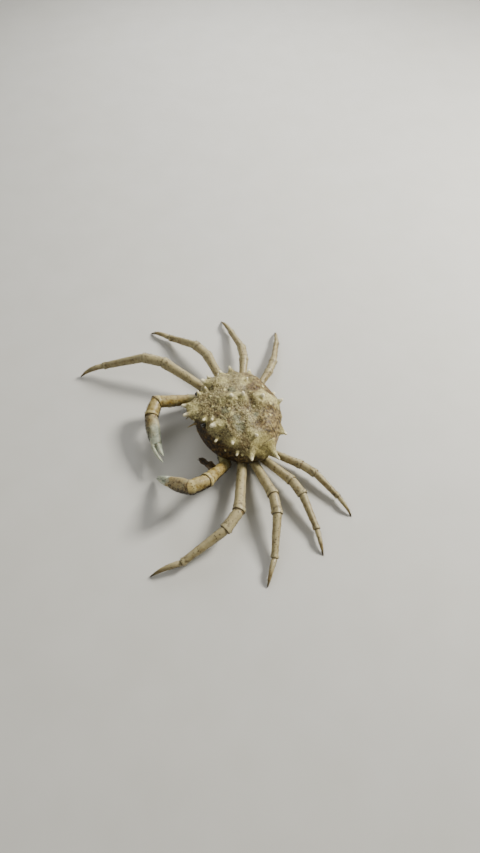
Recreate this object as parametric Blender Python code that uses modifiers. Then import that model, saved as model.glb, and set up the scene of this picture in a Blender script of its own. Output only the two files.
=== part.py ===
"""Still, life-size model of a spiny spider crab, squatting on its belly with its front raised.

Every limb segment, the shell, the belly plates, the eyes and the feelers are separate closed
bodies.  Units in the tables are millimetres and degrees; the meshes are built in metres.
The crab faces -Y, its left side is +X and the floor is the plane z = 0.
"""
import math

import bmesh
import bpy
from mathutils import Matrix, Vector

MM = 0.001
GAP = 0.3 * MM            # clearance between touching pieces
SOCKET_GAP = 0.4 * MM     # clearance round an eye or a feeler in the shell
SIDES = {"left": 1.0, "right": -1.0}

# ---- stance -------------------------------------------------------------------------
BODY_CENTRE = (0.0, -9.6, 28.0)    # middle of the shell's margin above the floor
BODY_PITCH = 20.8                  # front end up
BELLY_PLATE = 2.3                  # thickness of the folded tail flap under the belly

# ---- shell: one row for each cross-section, from the snout to the rear edge ----------
# forward, half width, margin height, dome height, underside depth, bulge of the flank under
# the margin, fullness of the dome (below 1 squares its cross-section, above 1 peaks it)
SHELL_SECTIONS = (
    (35.8, 0.0, -4.6, -4.6, -4.6, 0.0, 0.9),
    (34.9, 5.2, -4.2, -2.4, -6.6, 0.0, 0.9),
    (31.6, 8.2, -3.0, -0.2, -7.8, 0.0, 0.9),
    (27.6, 11.8, -1.6, 3.0, -11.6, 0.0, 0.9),
    (23.6, 17.4, -0.6, 6.2, -20.0, 0.8, 0.9),
    (17.6, 25.6, -0.6, 9.6, -25.0, 2.4, 0.95),
    (10.6, 32.0, -0.8, 12.8, -25.4, 4.0, 1.05),
    (2.6, 36.6, -1.0, 15.6, -23.0, 4.2, 1.15),
    (-6.2, 40.2, -1.0, 17.2, -20.0, 4.2, 1.25),
    (-16.0, 41.6, -0.6, 17.4, -16.4, 2.0, 1.3),
    (-25.0, 38.4, 0.0, 16.2, -12.8, 0.4, 1.35),
    (-31.8, 29.4, 0.0, 13.8, -11.0, 0.0, 1.4),
    (-36.4, 18.0, 0.4, 10.6, -9.6, 0.0, 1.3),
    (-38.2, 0.0, 0.8, 4.0, -4.0, 0.0, 1.0),
)
SHELL_AROUND = 32
SHELL_ALONG = 24
FLANK_FULLNESS = 0.62              # squares the cross-section under the margin
SHELL_EDGE_HEIGHT = -15.2          # height of the shell's lower edge below the middle
SHELL_EDGE_SLOPE = 0.25            # the edge rises towards the rear

# swellings: forward, sideways, height, spread along, spread across
SWELLINGS = (
    (7.0, 0.0, 1.5, 5.0, 6.5),      # gastric
    (-2.0, 0.0, 1.8, 5.0, 7.0),     # cardiac front
    (-17.5, 0.0, 1.6, 5.5, 6.0),    # cardiac
    (-31.0, 0.0, 1.6, 4.0, 7.0),    # intestinal
    (-9.5, 0.0, -1.3, 2.6, 10.0),   # groove in front of the heart
    (-14.0, 22.0, 1.8, 8.0, 8.0),   # gill chamber, upper
    (-25.0, 22.0, 1.0, 6.0, 7.0),   # gill chamber, rear
    (4.0, 24.0, 1.4, 5.0, 5.0),     # gill chamber, front
    (13.0, 14.5, -1.3, 4.0, 3.0),   # cheek groove
    (-10.0, 11.5, -1.5, 9.0, 3.0),  # groove beside the heart
)

# spines: tip forward, sideways, height, then length, root radius, the hub they point from
# and how much wider than the root their foot spreads on the shell
SHELL_HUB = (-14.0, 0.0, -2.0)
FRONT_HUB = (16.0, 0.0, -4.0)
TOP_HUB = (-12.0, 0.0, -30.0)
PAIRED_SPINES = (
    ((39.0, 4.9, -5.2), 11.0, 2.2, (27.0, 2.6, -3.0), 1.0),     # snout
    ((27.6, 14.6, 2.6), 6.0, 1.7, FRONT_HUB, 1.2),              # brow
    ((22.0, 16.4, 6.2), 4.5, 1.4, FRONT_HUB, 1.0),              # knob behind the brow
    ((24.6, 22.8, 6.6), 10.0, 2.0, (12.0, 8.0, -1.0), 2.6),     # cheek
    ((16.4, 32.0, 2.0), 8.0, 1.5, (0.0, 6.0, -2.0), 1.2),       # small, behind the cheek
    ((5.8, 36.4, 4.6), 7.0, 1.7, (-6.0, 8.0, -4.0), 2.2),       # front of the gill chamber
    ((3.2, 41.2, -3.6), 5.5, 1.5, SHELL_HUB, 1.0),              # small, on the margin
    ((-6.6, 48.3, 0.0), 12.0, 1.9, SHELL_HUB, 3.0),             # side
    ((-41.8, 21.6, 1.8), 10.0, 1.9, (-22.0, 8.0, 0.0), 2.4),    # rear
)
# on the middle line, and those that stand differently on the two sides
SINGLE_SPINES = (
    ((8.3, 0.0, 16.6), 6.0, 1.9, TOP_HUB, 1.6),
    ((-0.6, 0.0, 21.0), 6.5, 2.0, TOP_HUB, 1.8),
    ((-18.3, 0.0, 21.6), 6.5, 2.0, TOP_HUB, 2.0),
    ((-36.2, 0.0, 18.2), 9.0, 1.9, (-20.0, 0.0, -6.0), 2.2),
    ((-42.0, 0.0, -1.6), 6.0, 1.4, (-20.0, 0.0, 0.0), 1.4),     # knob on the rear margin
    ((-29.6, 46.7, 1.4), 15.0, 1.9, (-10.0, 14.0, 0.0), 4.0),   # long rear side, left
    ((-24.6, -46.4, 0.0), 14.0, 1.9, SHELL_HUB, 3.6),           # long rear side, right
    ((-9.8, 31.0, 11.0), 6.5, 1.7, (-8.0, 20.0, -14.0), 2.6),   # top of the gill chamber, left
    ((-11.8, -23.8, 12.0), 5.0, 1.4, (-8.0, -14.0, -14.0), 1.6),
)
SPINE_SIDES = 7
SPINE_TIP = 0.35                   # radius of a spine's tip
SPINE_RINGS = (0.0, 0.3, 1.0)      # shares of a spine's length where its outline bends
FOOT_SPAN = 0.35                   # share of the length over which the foot dies away
SWELLING_START = 6.0               # height above which the swellings have their full height

# ---- chest under the shell: forward, half width, margin height, top, bottom -----------
CHEST_SECTIONS = (
    (14.6, 0.0, -20.4, -14.0, -21.6),
    (12.6, 8.0, -20.4, -10.0, -24.4),
    (6.0, 15.0, -19.8, -8.0, -25.6),
    (-2.0, 18.6, -18.4, -6.0, -25.4),
    (-11.0, 20.0, -16.4, -5.0, -24.4),
    (-20.0, 19.0, -14.0, -4.0, -22.6),
    (-28.0, 15.0, -12.0, -4.0, -19.0),
    (-34.0, 9.0, -10.0, -4.0, -14.0),
    (-36.4, 0.0, -9.0, -7.0, -10.0),
)
CHEST_AROUND = 22
CHEST_ALONG = 14
CHEST_FULLNESS = 0.8               # squares the chest's cross-section
FLAP_FULLNESS = 0.5
# tail flap, folded flat under the chest
FLAP_SECTIONS = (
    (-3.0, 0.0, -22.0, -12.0, -34.0),
    (-5.0, 4.2, -22.0, -12.0, -34.0),
    (-13.0, 7.2, -22.0, -10.0, -34.0),
    (-22.0, 8.6, -20.0, -8.0, -32.0),
    (-29.0, 10.4, -18.0, -6.0, -30.0),
    (-33.0, 9.6, -17.0, -4.0, -28.0),
    (-34.6, 0.0, -16.0, -4.0, -26.0),
)

# ---- limbs --------------------------------------------------------------------------
# where each limb leaves the chest: forward, sideways, height, stub radius
LIMB_ROOTS = {
    "cheliped": (6.4, 22.0, -21.4, 3.9),
    "leg1": (-3.4, 25.0, -19.4, 3.6),
    "leg2": (-10.8, 25.5, -17.4, 3.4),
    "leg3": (-17.4, 24.0, -15.8, 3.1),
    "leg4": (-23.4, 20.5, -14.4, 2.8),
}
STUB_LENGTH = 11.0
STUB_RISE = 0.06
STUB_OVERRUN = 1.6                 # share of its radius by which a stub passes its joint
FIRST_STUB_HEADING = 78.0          # heading of the claw limbs' stubs, and the step between
STUB_HEADING_STEP = 8.0            # one limb's stub and the next
# lengths of ischium, merus, carpus, propodus (palm) and dactyl (finger)
LIMB_LENGTHS = {
    "cheliped": (15.0, 32.0, 13.6, 27.0, 17.0),
    "leg1": (12.0, 49.0, 17.5, 38.0, 24.0),
    "leg2": (10.0, 41.0, 15.6, 32.0, 21.0),
    "leg3": (9.0, 36.0, 14.0, 28.0, 19.0),
    "leg4": (8.0, 32.0, 13.0, 25.0, 17.0),
}
LEG_GIRTH = {"leg1": 1.0, "leg2": 0.93, "leg3": 0.85, "leg4": 0.77}
# heading out from straight ahead and rise of each segment, ischium first; a walking leg's
# last two segments have no rise, because they come down to the ankle's height and the floor
LIMB_POSES = {
    ("cheliped", "left"): ((95, -2), (50.5, 29), (19.6, 9), (-50.4, -34.0)),
    ("cheliped", "right"): ((30, 7), (-4.8, 12.6), (-64.8, -7.8), (-92.0, -4.5)),
    ("leg1", "left"): ((115, -3), (75.8, 9.2), (45, -4), (24, None), (8, None)),
    ("leg1", "right"): ((54, 6), (40, 16), (27, 0), (14, None), (3, None)),
    ("leg2", "left"): ((121, -6), (102, 10.6), (88, -3), (74, None), (64, None)),
    ("leg2", "right"): ((86, -4), (73, 11.2), (60, -3), (48, None), (40, None)),
    ("leg3", "left"): ((124, -5), (122, 7), (111, -2), (99, None), (90, None)),
    ("leg3", "right"): ((112, -4), (104, 8.8), (92, -3), (80, None), (72, None)),
    ("leg4", "left"): ((127, -3), (140, 3.6), (131, 0), (120, None), (111, None)),
    ("leg4", "right"): ((125, -3), (130, 4.6), (119, 0), (109, None), (100, None)),
}
ANKLE_HEIGHT = 4.6                 # height of the last joint of a walking leg
RAISED_ANKLES = {("leg1", "right"): 11.0, ("leg1", "left"): 6.0}
SEGMENT_OVERRUN = 1.3              # share of its radius by which a segment passes its joint
LEG_SIDES = 10
CLAW_SIDES = 12
TIP_RADIUS = 0.35
# oval sections of the walking-leg segments: share of length, height radius, width radius
LEG_SECTIONS = {
    "ischium": ((0.0, 3.5, 3.3), (0.45, 3.5, 3.3), (0.85, 4.0, 3.8), (1.0, 4.1, 3.9)),
    "merus": ((0.0, 3.7, 3.5), (0.06, 3.9, 3.6), (0.4, 4.1, 3.8), (0.78, 4.4, 4.1),
              (0.93, 4.9, 4.5), (1.0, 4.7, 4.3)),
    "carpus": ((0.0, 4.2, 3.9), (0.16, 4.4, 4.1), (0.55, 4.4, 4.2), (0.86, 4.6, 4.3),
               (1.0, 4.3, 4.0)),
    "propodus": ((0.0, 3.8, 3.5), (0.06, 3.9, 3.5), (0.4, 3.6, 3.2), (0.8, 3.2, 2.8),
                 (0.94, 3.2, 2.8), (1.0, 3.0, 2.7)),
    "dactyl": ((0.0, 2.7, 2.4), (0.35, 2.3, 2.0), (0.7, 1.5, 1.3),
               (0.9, 0.8, 0.7), (1.0, TIP_RADIUS, TIP_RADIUS)),
}
DACTYL_BOW = 0.10                  # arch of a walking leg's last segment
CLAW_ARM_SECTIONS = {
    "ischium": ((0.0, 3.6, 3.6), (0.5, 3.9, 3.7), (1.0, 4.4, 4.2)),
    "merus": ((0.0, 3.8, 3.6), (0.08, 4.3, 4.1), (0.5, 4.7, 4.4), (0.85, 5.2, 5.0),
              (0.94, 5.5, 5.2), (1.0, 5.0, 4.8)),
    "carpus": ((0.0, 4.7, 4.5), (0.2, 5.1, 4.9), (0.55, 5.5, 5.2), (0.85, 5.4, 5.1),
               (1.0, 4.9, 4.6)),
}
# palm: share of length, radius across the two fingers, radius through the palm
PALM_SECTIONS = ((0.0, 4.7, 4.1), (0.12, 5.2, 4.4), (0.45, 5.5, 4.4), (0.8, 4.6, 3.7),
                 (1.0, 4.2, 3.2))
FINGER_OFFSET = 0.52               # finger's middle from the palm's, as a share of its radius
FINGER_WIDTH = 0.44                # finger's radius as a share of the palm's
FINGER_DEPTH = 0.72                # finger's depth as a share of the palm's
FINGER_CLOSING = 0.72              # how far the tips come together, as a share of the offset
FINGER_CLOSING_POWER = 1.6
FINGER_HOOK_POWER = 1.8
FINGER_TAPER = ((0.0, 1.0), (0.3, 0.92), (0.6, 0.7), (0.85, 0.42), (1.0, 0.17))
SPLIT_STEP = 0.7                   # depth of the step where the fixed finger leaves the palm
# direction from the fixed finger to the moving one, and how far both tips hook that way
FINGER_SIDE = {"left": (-0.3, 0.55, 0.75), "right": (0.0, 0.92, 0.38)}
FINGER_HOOK = {"left": 0.6, "right": 3.4}
FINGER_SHORT = {"left": 2.0, "right": 6.0}     # how much shorter the moving finger is

# ---- eyes, feelers, mouth plates -----------------------------------------------------
EYE_ROOT = (24.4, 11.8, -2.4)
EYE_AIM = (26.6, 17.2, -1.6)
EYE_SECTIONS = ((0.0, 1.1), (2.0, 1.2), (3.1, 1.75), (4.3, 1.95), (5.2, 1.5), (5.7, 0.6))
FEELER_ROOT = (26.2, 6.0, -10.6)
FEELER_AIM = (31.6, 4.0, -20.6)
FEELER_SECTIONS = ((0.0, 1.3), (3.0, 1.2), (3.6, 0.8), (7.0, 0.55), (11.0, 0.36))
MOUTH_PLATE = (6.6, 8.6, 2.2)      # width, length, thickness
MOUTH_PLATE_PLACE = (19.4, 3.7)    # forward, sideways
MOUTH_PLATE_BEVEL = 0.7

COLOURS = {
    "shell": ((0.33, 0.24, 0.12), 0.45),
    "belly": ((0.52, 0.43, 0.28), 0.5),
    "limb": ((0.42, 0.31, 0.16), 0.45),
    "claw": ((0.50, 0.36, 0.18), 0.4),
    "eye": ((0.03, 0.02, 0.015), 0.15),
    "feeler": ((0.45, 0.33, 0.18), 0.5),
}


def clear_scene():
    """Remove the objects, meshes and materials that the file opened with."""
    for obj in list(bpy.data.objects):
        bpy.data.objects.remove(obj, do_unlink=True)
    for store in (bpy.data.meshes, bpy.data.materials):
        for item in list(store):
            store.remove(item)


def make_collection(name):
    """Return a new collection linked to the scene."""
    group = bpy.data.collections.new(name)
    bpy.context.scene.collection.children.link(group)
    return group


def make_material(name):
    """Return a plain Principled material for one kind of surface."""
    colour, roughness = COLOURS[name]
    material = bpy.data.materials.new(name)
    material.use_nodes = True
    shader = material.node_tree.nodes["Principled BSDF"]
    shader.inputs["Base Color"].default_value = (*colour, 1.0)
    shader.inputs["Roughness"].default_value = roughness
    shader.inputs["Metallic"].default_value = 0.0
    return material


def body_point(forward, sideways, height):
    """A place on the body, in the body's own frame, in metres."""
    return Vector((sideways, -forward, height)) * MM


def body_matrix():
    """Where the body's frame stands in the world."""
    pitch = Matrix.Rotation(math.radians(-BODY_PITCH), 4, "X")
    return Matrix.Translation(Vector(BODY_CENTRE) * MM) @ pitch


def heading(side, outward, rise):
    """Unit vector from an angle out from straight ahead and a rise."""
    out, up = math.radians(outward), math.radians(rise)
    flat = math.cos(up)
    return Vector((side * math.sin(out) * flat, -math.cos(out) * flat, math.sin(up)))


def frame_along(origin, direction, upward):
    """Frame whose Z runs along a segment and whose X leans towards upward."""
    along = direction.normalized()
    over = (upward - along * upward.dot(along)).normalized()
    across = along.cross(over)
    turn = Matrix((over, across, along)).transposed().to_4x4()
    return Matrix.Translation(origin) @ turn


def blend_rows(rows, share):
    """Row of a table of sections at a share of its length, on a smooth curve."""
    span = share * (len(rows) - 1)
    index = min(int(span), len(rows) - 2)
    t = span - index
    before = rows[max(index - 1, 0)]
    start, end = rows[index], rows[index + 1]
    after = rows[min(index + 2, len(rows) - 1)]
    mixed = []
    for a, b, c, d in zip(before, start, end, after):
        bend = 2.0 * a - 5.0 * b + 4.0 * c - d
        twist = 3.0 * (b - c) + d - a
        mixed.append(b + 0.5 * t * ((c - a) + t * (bend + t * twist)))
    return mixed


def eased(value, power):
    """Signed power, which squares or pinches an oval."""
    return math.copysign(abs(value) ** power, value)


def oval_place(row, turn, power):
    """Place on an oval cross-section with different upper and lower halves."""
    forward, width, margin, top, bottom = row
    reach = (top - margin) if math.sin(turn) >= 0.0 else (margin - bottom)
    return body_point(forward, width * eased(math.cos(turn), power),
                      margin + reach * eased(math.sin(turn), power))


def chest_place(row, turn):
    """Place on one of the chest's cross-sections."""
    return oval_place(row, turn, CHEST_FULLNESS)


def flap_place(row, turn):
    """Place on one of the tail flap's cross-sections."""
    return oval_place(row, turn, FLAP_FULLNESS)


def shell_place(row, turn):
    """Place on one of the shell's cross-sections, domed above and bulging under the margin."""
    *oval, flare, dome = row
    if math.sin(turn) >= 0.0:
        return oval_place(oval, turn, dome)
    oval[1] += flare * math.sin(math.pi * -math.sin(turn))
    return oval_place(oval, turn, FLANK_FULLNESS)


def section_blank(rows, around, along, place):
    """Closed body through a table of cross-sections, from a sphere with its poles fore and aft."""
    bm = bmesh.new()
    bmesh.ops.create_uvsphere(bm, u_segments=around, v_segments=along, radius=1.0)
    for vert in bm.verts:
        share = math.acos(max(-1.0, min(1.0, vert.co.z))) / math.pi
        row = blend_rows(rows, share)
        row[1] = max(row[1], 0.0)
        vert.co = place(row, math.atan2(vert.co.y, vert.co.x))
    bmesh.ops.remove_doubles(bm, verts=bm.verts, dist=0.01 * MM)
    bmesh.ops.recalc_face_normals(bm, faces=bm.faces)
    return bm


def trim(bm, point, outward):
    """Cut off what lies beyond a plane and close the cut."""
    geometry = bm.verts[:] + bm.edges[:] + bm.faces[:]
    bmesh.ops.bisect_plane(bm, geom=geometry, dist=1e-7, plane_co=point, plane_no=outward,
                           clear_outer=True)
    rim = [edge for edge in bm.edges if edge.is_boundary]
    if rim:
        bmesh.ops.holes_fill(bm, edges=rim)
    bmesh.ops.recalc_face_normals(bm, faces=bm.faces)


def edge_plane():
    """Point and downward normal of the shell's lower edge, in the body's frame."""
    normal = Vector((0.0, SHELL_EDGE_SLOPE, -1.0)).normalized()
    return body_point(0.0, 0.0, SHELL_EDGE_HEIGHT), normal


def floor_plane(matrix, height=0.0):
    """Point and downward normal, in a frame, of a level plane above the floor."""
    inverse = matrix.inverted()
    point = inverse @ Vector((0.0, 0.0, height))
    return point, (inverse.to_3x3() @ Vector((0.0, 0.0, -1.0))).normalized()


def swept_bmesh(sections, sides, bow=0.0):
    """Closed body along +Z: a disc extruded through oval sections (place, x, y, offset)."""
    bm = bmesh.new()
    bmesh.ops.create_circle(bm, cap_ends=True, radius=1.0, segments=sides)
    length = sections[-1][0]
    units = {vert: vert.co.copy() for vert in bm.verts}
    face = next(iter(bm.faces))

    def place(verts, section):
        along, high, wide, shift = section
        arch = 4.0 * bow * along * (1.0 - along / length) if length else 0.0
        for vert in verts:
            unit = units[vert]
            vert.co = Vector((unit.x * high + shift + arch, unit.y * wide, along)) * MM

    place(face.verts, sections[0])
    for section in sections[1:]:
        before = [units[vert] for vert in face.verts]
        corners = [vert.co.copy() for vert in face.verts]
        covered = face if len(bm.faces) > 1 else None
        result = bmesh.ops.extrude_face_region(bm, geom=[face])
        face = next(item for item in result["geom"] if isinstance(item, bmesh.types.BMFace))
        if covered:
            bmesh.ops.delete(bm, geom=[covered], context="FACES_ONLY")
        for vert in face.verts:
            nearest = min(range(sides), key=lambda i: (corners[i] - vert.co).length)
            units[vert] = before[nearest]
        place(face.verts, section)
    bmesh.ops.recalc_face_normals(bm, faces=bm.faces)
    return bm


def finish_object(name, bm, collection, material, matrix, smooth_angle=50.0):
    """Store a bmesh as a named object standing at a matrix."""
    mesh = bpy.data.meshes.new(name)
    bm.to_mesh(mesh)
    bm.free()
    mesh.shade_smooth()
    mesh.set_sharp_from_angle(angle=math.radians(smooth_angle))
    obj = bpy.data.objects.new(name, mesh)
    if material:
        mesh.materials.append(material)
    collection.objects.link(obj)
    obj.location = matrix.to_translation()
    obj.rotation_euler = matrix.to_euler()
    return obj


def hide_cutter(obj):
    """Mark an object as a tool that is not part of the crab."""
    obj.hide_render = True
    obj.display_type = "WIRE"
    return obj


def combine(obj, cutter, operation):
    """Add a boolean modifier."""
    modifier = obj.modifiers.new(cutter.name, "BOOLEAN")
    modifier.operation = operation
    modifier.solver = "EXACT"
    modifier.use_self = operation == "UNION"
    modifier.object = cutter


def add_copy(bm, piece):
    """Add a bmesh to another one and free it."""
    mesh = bpy.data.meshes.new("copy")
    piece.to_mesh(mesh)
    piece.free()
    bm.from_mesh(mesh)
    bpy.data.meshes.remove(mesh)


def spine_rows(length, radius, foot):
    """Round sections of a spine, whose foot spreads in a hollow curve."""
    rows = []
    for share in SPINE_RINGS:
        taper = SPINE_TIP + (radius - SPINE_TIP) * (1.0 - share)
        spread = foot * math.exp(-share / FOOT_SPAN) * (1.0 - share)
        rows.append((share * length, taper + spread, taper + spread, 0.0))
    return rows


def spine_bmesh():
    """All the shell's spines, rooted inside the shell."""
    bm = bmesh.new()
    rows = [(row, 1.0) for row in SINGLE_SPINES]
    rows += [(row, side) for row in PAIRED_SPINES for side in SIDES.values()]
    for (tip, length, radius, hub, foot), side in rows:
        end = body_point(tip[0], tip[1] * side, tip[2])
        start = body_point(hub[0], hub[1] * side, hub[2])
        outward = (end - start).normalized()
        piece = swept_bmesh(spine_rows(length, radius, foot), SPINE_SIDES)
        piece.transform(frame_along(end - outward * length * MM, outward,
                                    Vector((0.0, 0.1, 1.0))))
        add_copy(bm, piece)
    bmesh.ops.recalc_face_normals(bm, faces=bm.faces)
    return bm


def swell(bm):
    """Raise the shell's regions and sink its grooves."""
    for vert in bm.verts:
        if vert.co.z <= 0.0:
            continue
        forward, sideways = -vert.co.y / MM, abs(vert.co.x) / MM
        lift = 0.0
        for at, out, height, long_spread, cross_spread in SWELLINGS:
            reach = ((forward - at) / long_spread) ** 2 + ((sideways - out) / cross_spread) ** 2
            lift += height * math.exp(-0.5 * reach)
        weight = min(vert.co.z / (SWELLING_START * MM), 1.0)
        vert.co.z += lift * weight * MM


def sensor_matrix(root, aim, side):
    """Frame of an eye or a feeler, along its axis."""
    start = body_point(root[0], root[1] * side, root[2])
    end = body_point(aim[0], aim[1] * side, aim[2])
    return frame_along(start, end - start, Vector((0.0, 0.0, 1.0)))


def round_sections(rows, extra=0.0):
    """Round sections, made thicker all over by extra."""
    grown = [(place, radius + extra, radius + extra, 0.0) for place, radius in rows]
    first, last = grown[0], grown[-1]
    if extra:
        grown[0] = (first[0] - extra, first[1], first[2], 0.0)
        grown.append((last[0] + extra, last[1], last[2], 0.0))
    return grown


def sensor_cutters():
    """Sockets in the shell for the eyes and the feelers."""
    joined = bmesh.new()
    extra = SOCKET_GAP / MM
    for root, aim, rows in ((EYE_ROOT, EYE_AIM, EYE_SECTIONS),
                            (FEELER_ROOT, FEELER_AIM, FEELER_SECTIONS)):
        for side in SIDES.values():
            piece = swept_bmesh(round_sections(rows, extra), LEG_SIDES)
            piece.transform(sensor_matrix(root, aim, side))
            add_copy(joined, piece)
    return joined


def build_shell(parts, cutters, root, material):
    """The domed shell with its regions, spines, eye sockets and snout."""
    bm = section_blank(SHELL_SECTIONS, SHELL_AROUND, SHELL_ALONG, shell_place)
    swell(bm)
    trim(bm, *edge_plane())
    shell = finish_object("carapace", bm, parts, material, Matrix())
    shell.parent = root
    spines = hide_cutter(finish_object("spine_cones", spine_bmesh(), cutters, None, Matrix()))
    sockets = hide_cutter(finish_object("sockets", sensor_cutters(), cutters, None, Matrix()))
    for tool in (spines, sockets):
        tool.parent = root
    combine(shell, spines, "UNION")
    combine(shell, sockets, "DIFFERENCE")


def build_sensors(parts, root, materials):
    """Stalked eyes and short feelers in their sockets."""
    kinds = (("eye", EYE_ROOT, EYE_AIM, EYE_SECTIONS, "eye"),
             ("antenna", FEELER_ROOT, FEELER_AIM, FEELER_SECTIONS, "feeler"))
    for kind, start, aim, rows, finish in kinds:
        for word, side in SIDES.items():
            bm = swept_bmesh(round_sections(rows), 8 if kind == "antenna" else LEG_SIDES)
            obj = finish_object(f"{kind}_{word}", bm, parts, materials[finish],
                                sensor_matrix(start, aim, side))
            obj.parent = root


def build_mouth(parts, root, material):
    """The pair of outer mouth plates under the snout."""
    wide, long, thick = MOUTH_PLATE
    forward, sideways = MOUTH_PLATE_PLACE
    _, normal = edge_plane()
    for word, side in SIDES.items():
        bm = bmesh.new()
        bmesh.ops.create_cube(bm, size=1.0)
        bmesh.ops.scale(bm, vec=Vector((wide, long, thick)) * MM, verts=bm.verts)
        tilt = Matrix.Rotation(math.atan(SHELL_EDGE_SLOPE), 4, "X")
        drop = SHELL_EDGE_HEIGHT - SHELL_EDGE_SLOPE * forward
        below = normal * (0.5 * thick * MM + GAP)
        place = Matrix.Translation(body_point(forward, sideways * side, drop) + below) @ tilt
        obj = finish_object(f"maxilliped_{word}", bm, parts, material, place)
        bevel = obj.modifiers.new("rounded", "BEVEL")
        bevel.width = MOUTH_PLATE_BEVEL * MM
        bevel.segments = 1
        obj.parent = root


def limb_start(limb, side):
    """World place where a limb's first free segment begins."""
    forward, sideways, height, _ = LIMB_ROOTS[limb]
    return body_matrix() @ body_point(forward, sideways * side, height)


def limb_joints(limb, word):
    """World places of a limb's joints, from the chest outwards, and its directions."""
    side = SIDES[word]
    joints = [limb_start(limb, side)]
    directions = []
    landings = [RAISED_ANKLES.get((limb, word), ANKLE_HEIGHT), 0.5 * TIP_RADIUS]
    for length, (outward, rise) in zip(LIMB_LENGTHS[limb], LIMB_POSES[limb, word]):
        if rise is None:
            drop = joints[-1].z / MM - landings.pop(0)
            rise = -math.degrees(math.asin(drop / length))
        direction = heading(side, outward, rise)
        directions.append(direction)
        joints.append(joints[-1] + direction * length * MM)
    return joints, directions


def stub_direction(limb, side):
    """Direction in which a limb's stub leaves the chest."""
    outward = FIRST_STUB_HEADING + STUB_HEADING_STEP * list(LIMB_ROOTS).index(limb)
    level = heading(side, outward, 0.0)
    return (level + Vector((0.0, 0.0, STUB_RISE))).normalized()


def build_chest(parts, cutters, root, material):
    """The chest plate with ten limb stubs, flat underneath where the tail flap lies."""
    bm = section_blank(CHEST_SECTIONS, CHEST_AROUND, CHEST_ALONG, chest_place)
    point, normal = edge_plane()
    trim(bm, point + normal * GAP, -normal)
    trim(bm, *floor_plane(body_matrix(), BELLY_PLATE * MM + GAP))
    chest = finish_object("sternum", bm, parts, material, Matrix())
    chest.parent = root

    stubs = bmesh.new()
    for limb, (_, _, _, radius) in LIMB_ROOTS.items():
        for word, side in SIDES.items():
            joint = limb_start(limb, side)
            along = stub_direction(limb, side)
            free = limb_joints(limb, word)[1][0]
            overrun = STUB_OVERRUN * radius
            rows = [(0.0, radius, radius, 0.0), (STUB_LENGTH + overrun, radius, radius, 0.0)]
            piece = swept_bmesh(rows, LEG_SIDES)
            piece.transform(frame_along(joint - along * STUB_LENGTH * MM, along,
                                        Vector((0.0, 0.0, 1.0))))
            mitre = (along + free).normalized()
            trim(piece, joint - mitre * GAP * 0.5, mitre)
            piece.transform(body_matrix().inverted())
            add_copy(stubs, piece)
    tool = hide_cutter(finish_object("limb_stubs", stubs, cutters, None, Matrix()))
    tool.parent = root
    combine(chest, tool, "UNION")


def build_flap(parts, root, material):
    """The tail flap folded under the chest; its underside is the belly's resting flat."""
    bm = section_blank(FLAP_SECTIONS, CHEST_AROUND, CHEST_ALONG, flap_place)
    body = body_matrix()
    trim(bm, *floor_plane(body))
    point, normal = floor_plane(body, BELLY_PLATE * MM)
    trim(bm, point, -normal)
    flap = finish_object("abdomen", bm, parts, material, Matrix())
    flap.parent = root


def segment_rows(sections, length, girth):
    """Sections in millimetres, run past both ends so that the mitres can trim them."""
    rows = [(share * length, high * girth, wide * girth, 0.0) for share, high, wide in sections]
    reach = SEGMENT_OVERRUN * max(rows[0][1], rows[-1][1])
    first, last = rows[0], rows[-1]
    return [(first[0] - reach, *first[1:])] + rows[1:-1] + [(last[0] + reach, *last[1:])]


def mitre_trim(bm, matrix, joint, before, after, keep):
    """Trim a segment at a joint, on the plane that halves the bend; keep is 1 beyond it."""
    inverse = matrix.inverted()
    halfway = (before + after).normalized()
    point = inverse @ (joint + halfway * keep * GAP * 0.5)
    trim(bm, point, (inverse.to_3x3() @ halfway) * -keep)


def build_leg(limb, word, parts, root, material):
    """One walking leg of five segments, its last one ending in a small flat on the floor."""
    joints, directions = limb_joints(limb, word)
    approach = [stub_direction(limb, SIDES[word])] + directions
    for index, (segment, sections) in enumerate(LEG_SECTIONS.items()):
        length = LIMB_LENGTHS[limb][index]
        matrix = frame_along(joints[index], directions[index], Vector((0.0, 0.0, 1.0)))
        rows = segment_rows(sections, length, LEG_GIRTH[limb])
        is_tip = segment == "dactyl"
        if is_tip:
            last = sections[-1]
            rows[-1] = (length, last[1], last[2], 0.0)
        bm = swept_bmesh(rows, LEG_SIDES, DACTYL_BOW if is_tip else 0.0)
        mitre_trim(bm, matrix, joints[index], approach[index], directions[index], 1.0)
        if is_tip:
            trim(bm, *floor_plane(matrix))
        else:
            mitre_trim(bm, matrix, joints[index + 1], directions[index],
                       directions[index + 1], -1.0)
        obj = finish_object(f"{limb}_{word}_{segment}", bm, parts, material, matrix)
        obj.parent = root


def finger_rows(start, length, palm_end, offset_sign, hook):
    """Sections of one finger beyond the palm, tapering and hooking sideways."""
    across, through = palm_end
    rows = []
    for share, taper in FINGER_TAPER:
        apart = 1.0 - FINGER_CLOSING * share ** FINGER_CLOSING_POWER
        middle = offset_sign * FINGER_OFFSET * across * apart
        rows.append((start + share * length, FINGER_WIDTH * across * taper,
                     FINGER_DEPTH * through * taper, middle + hook * share ** FINGER_HOOK_POWER))
    return rows


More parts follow.
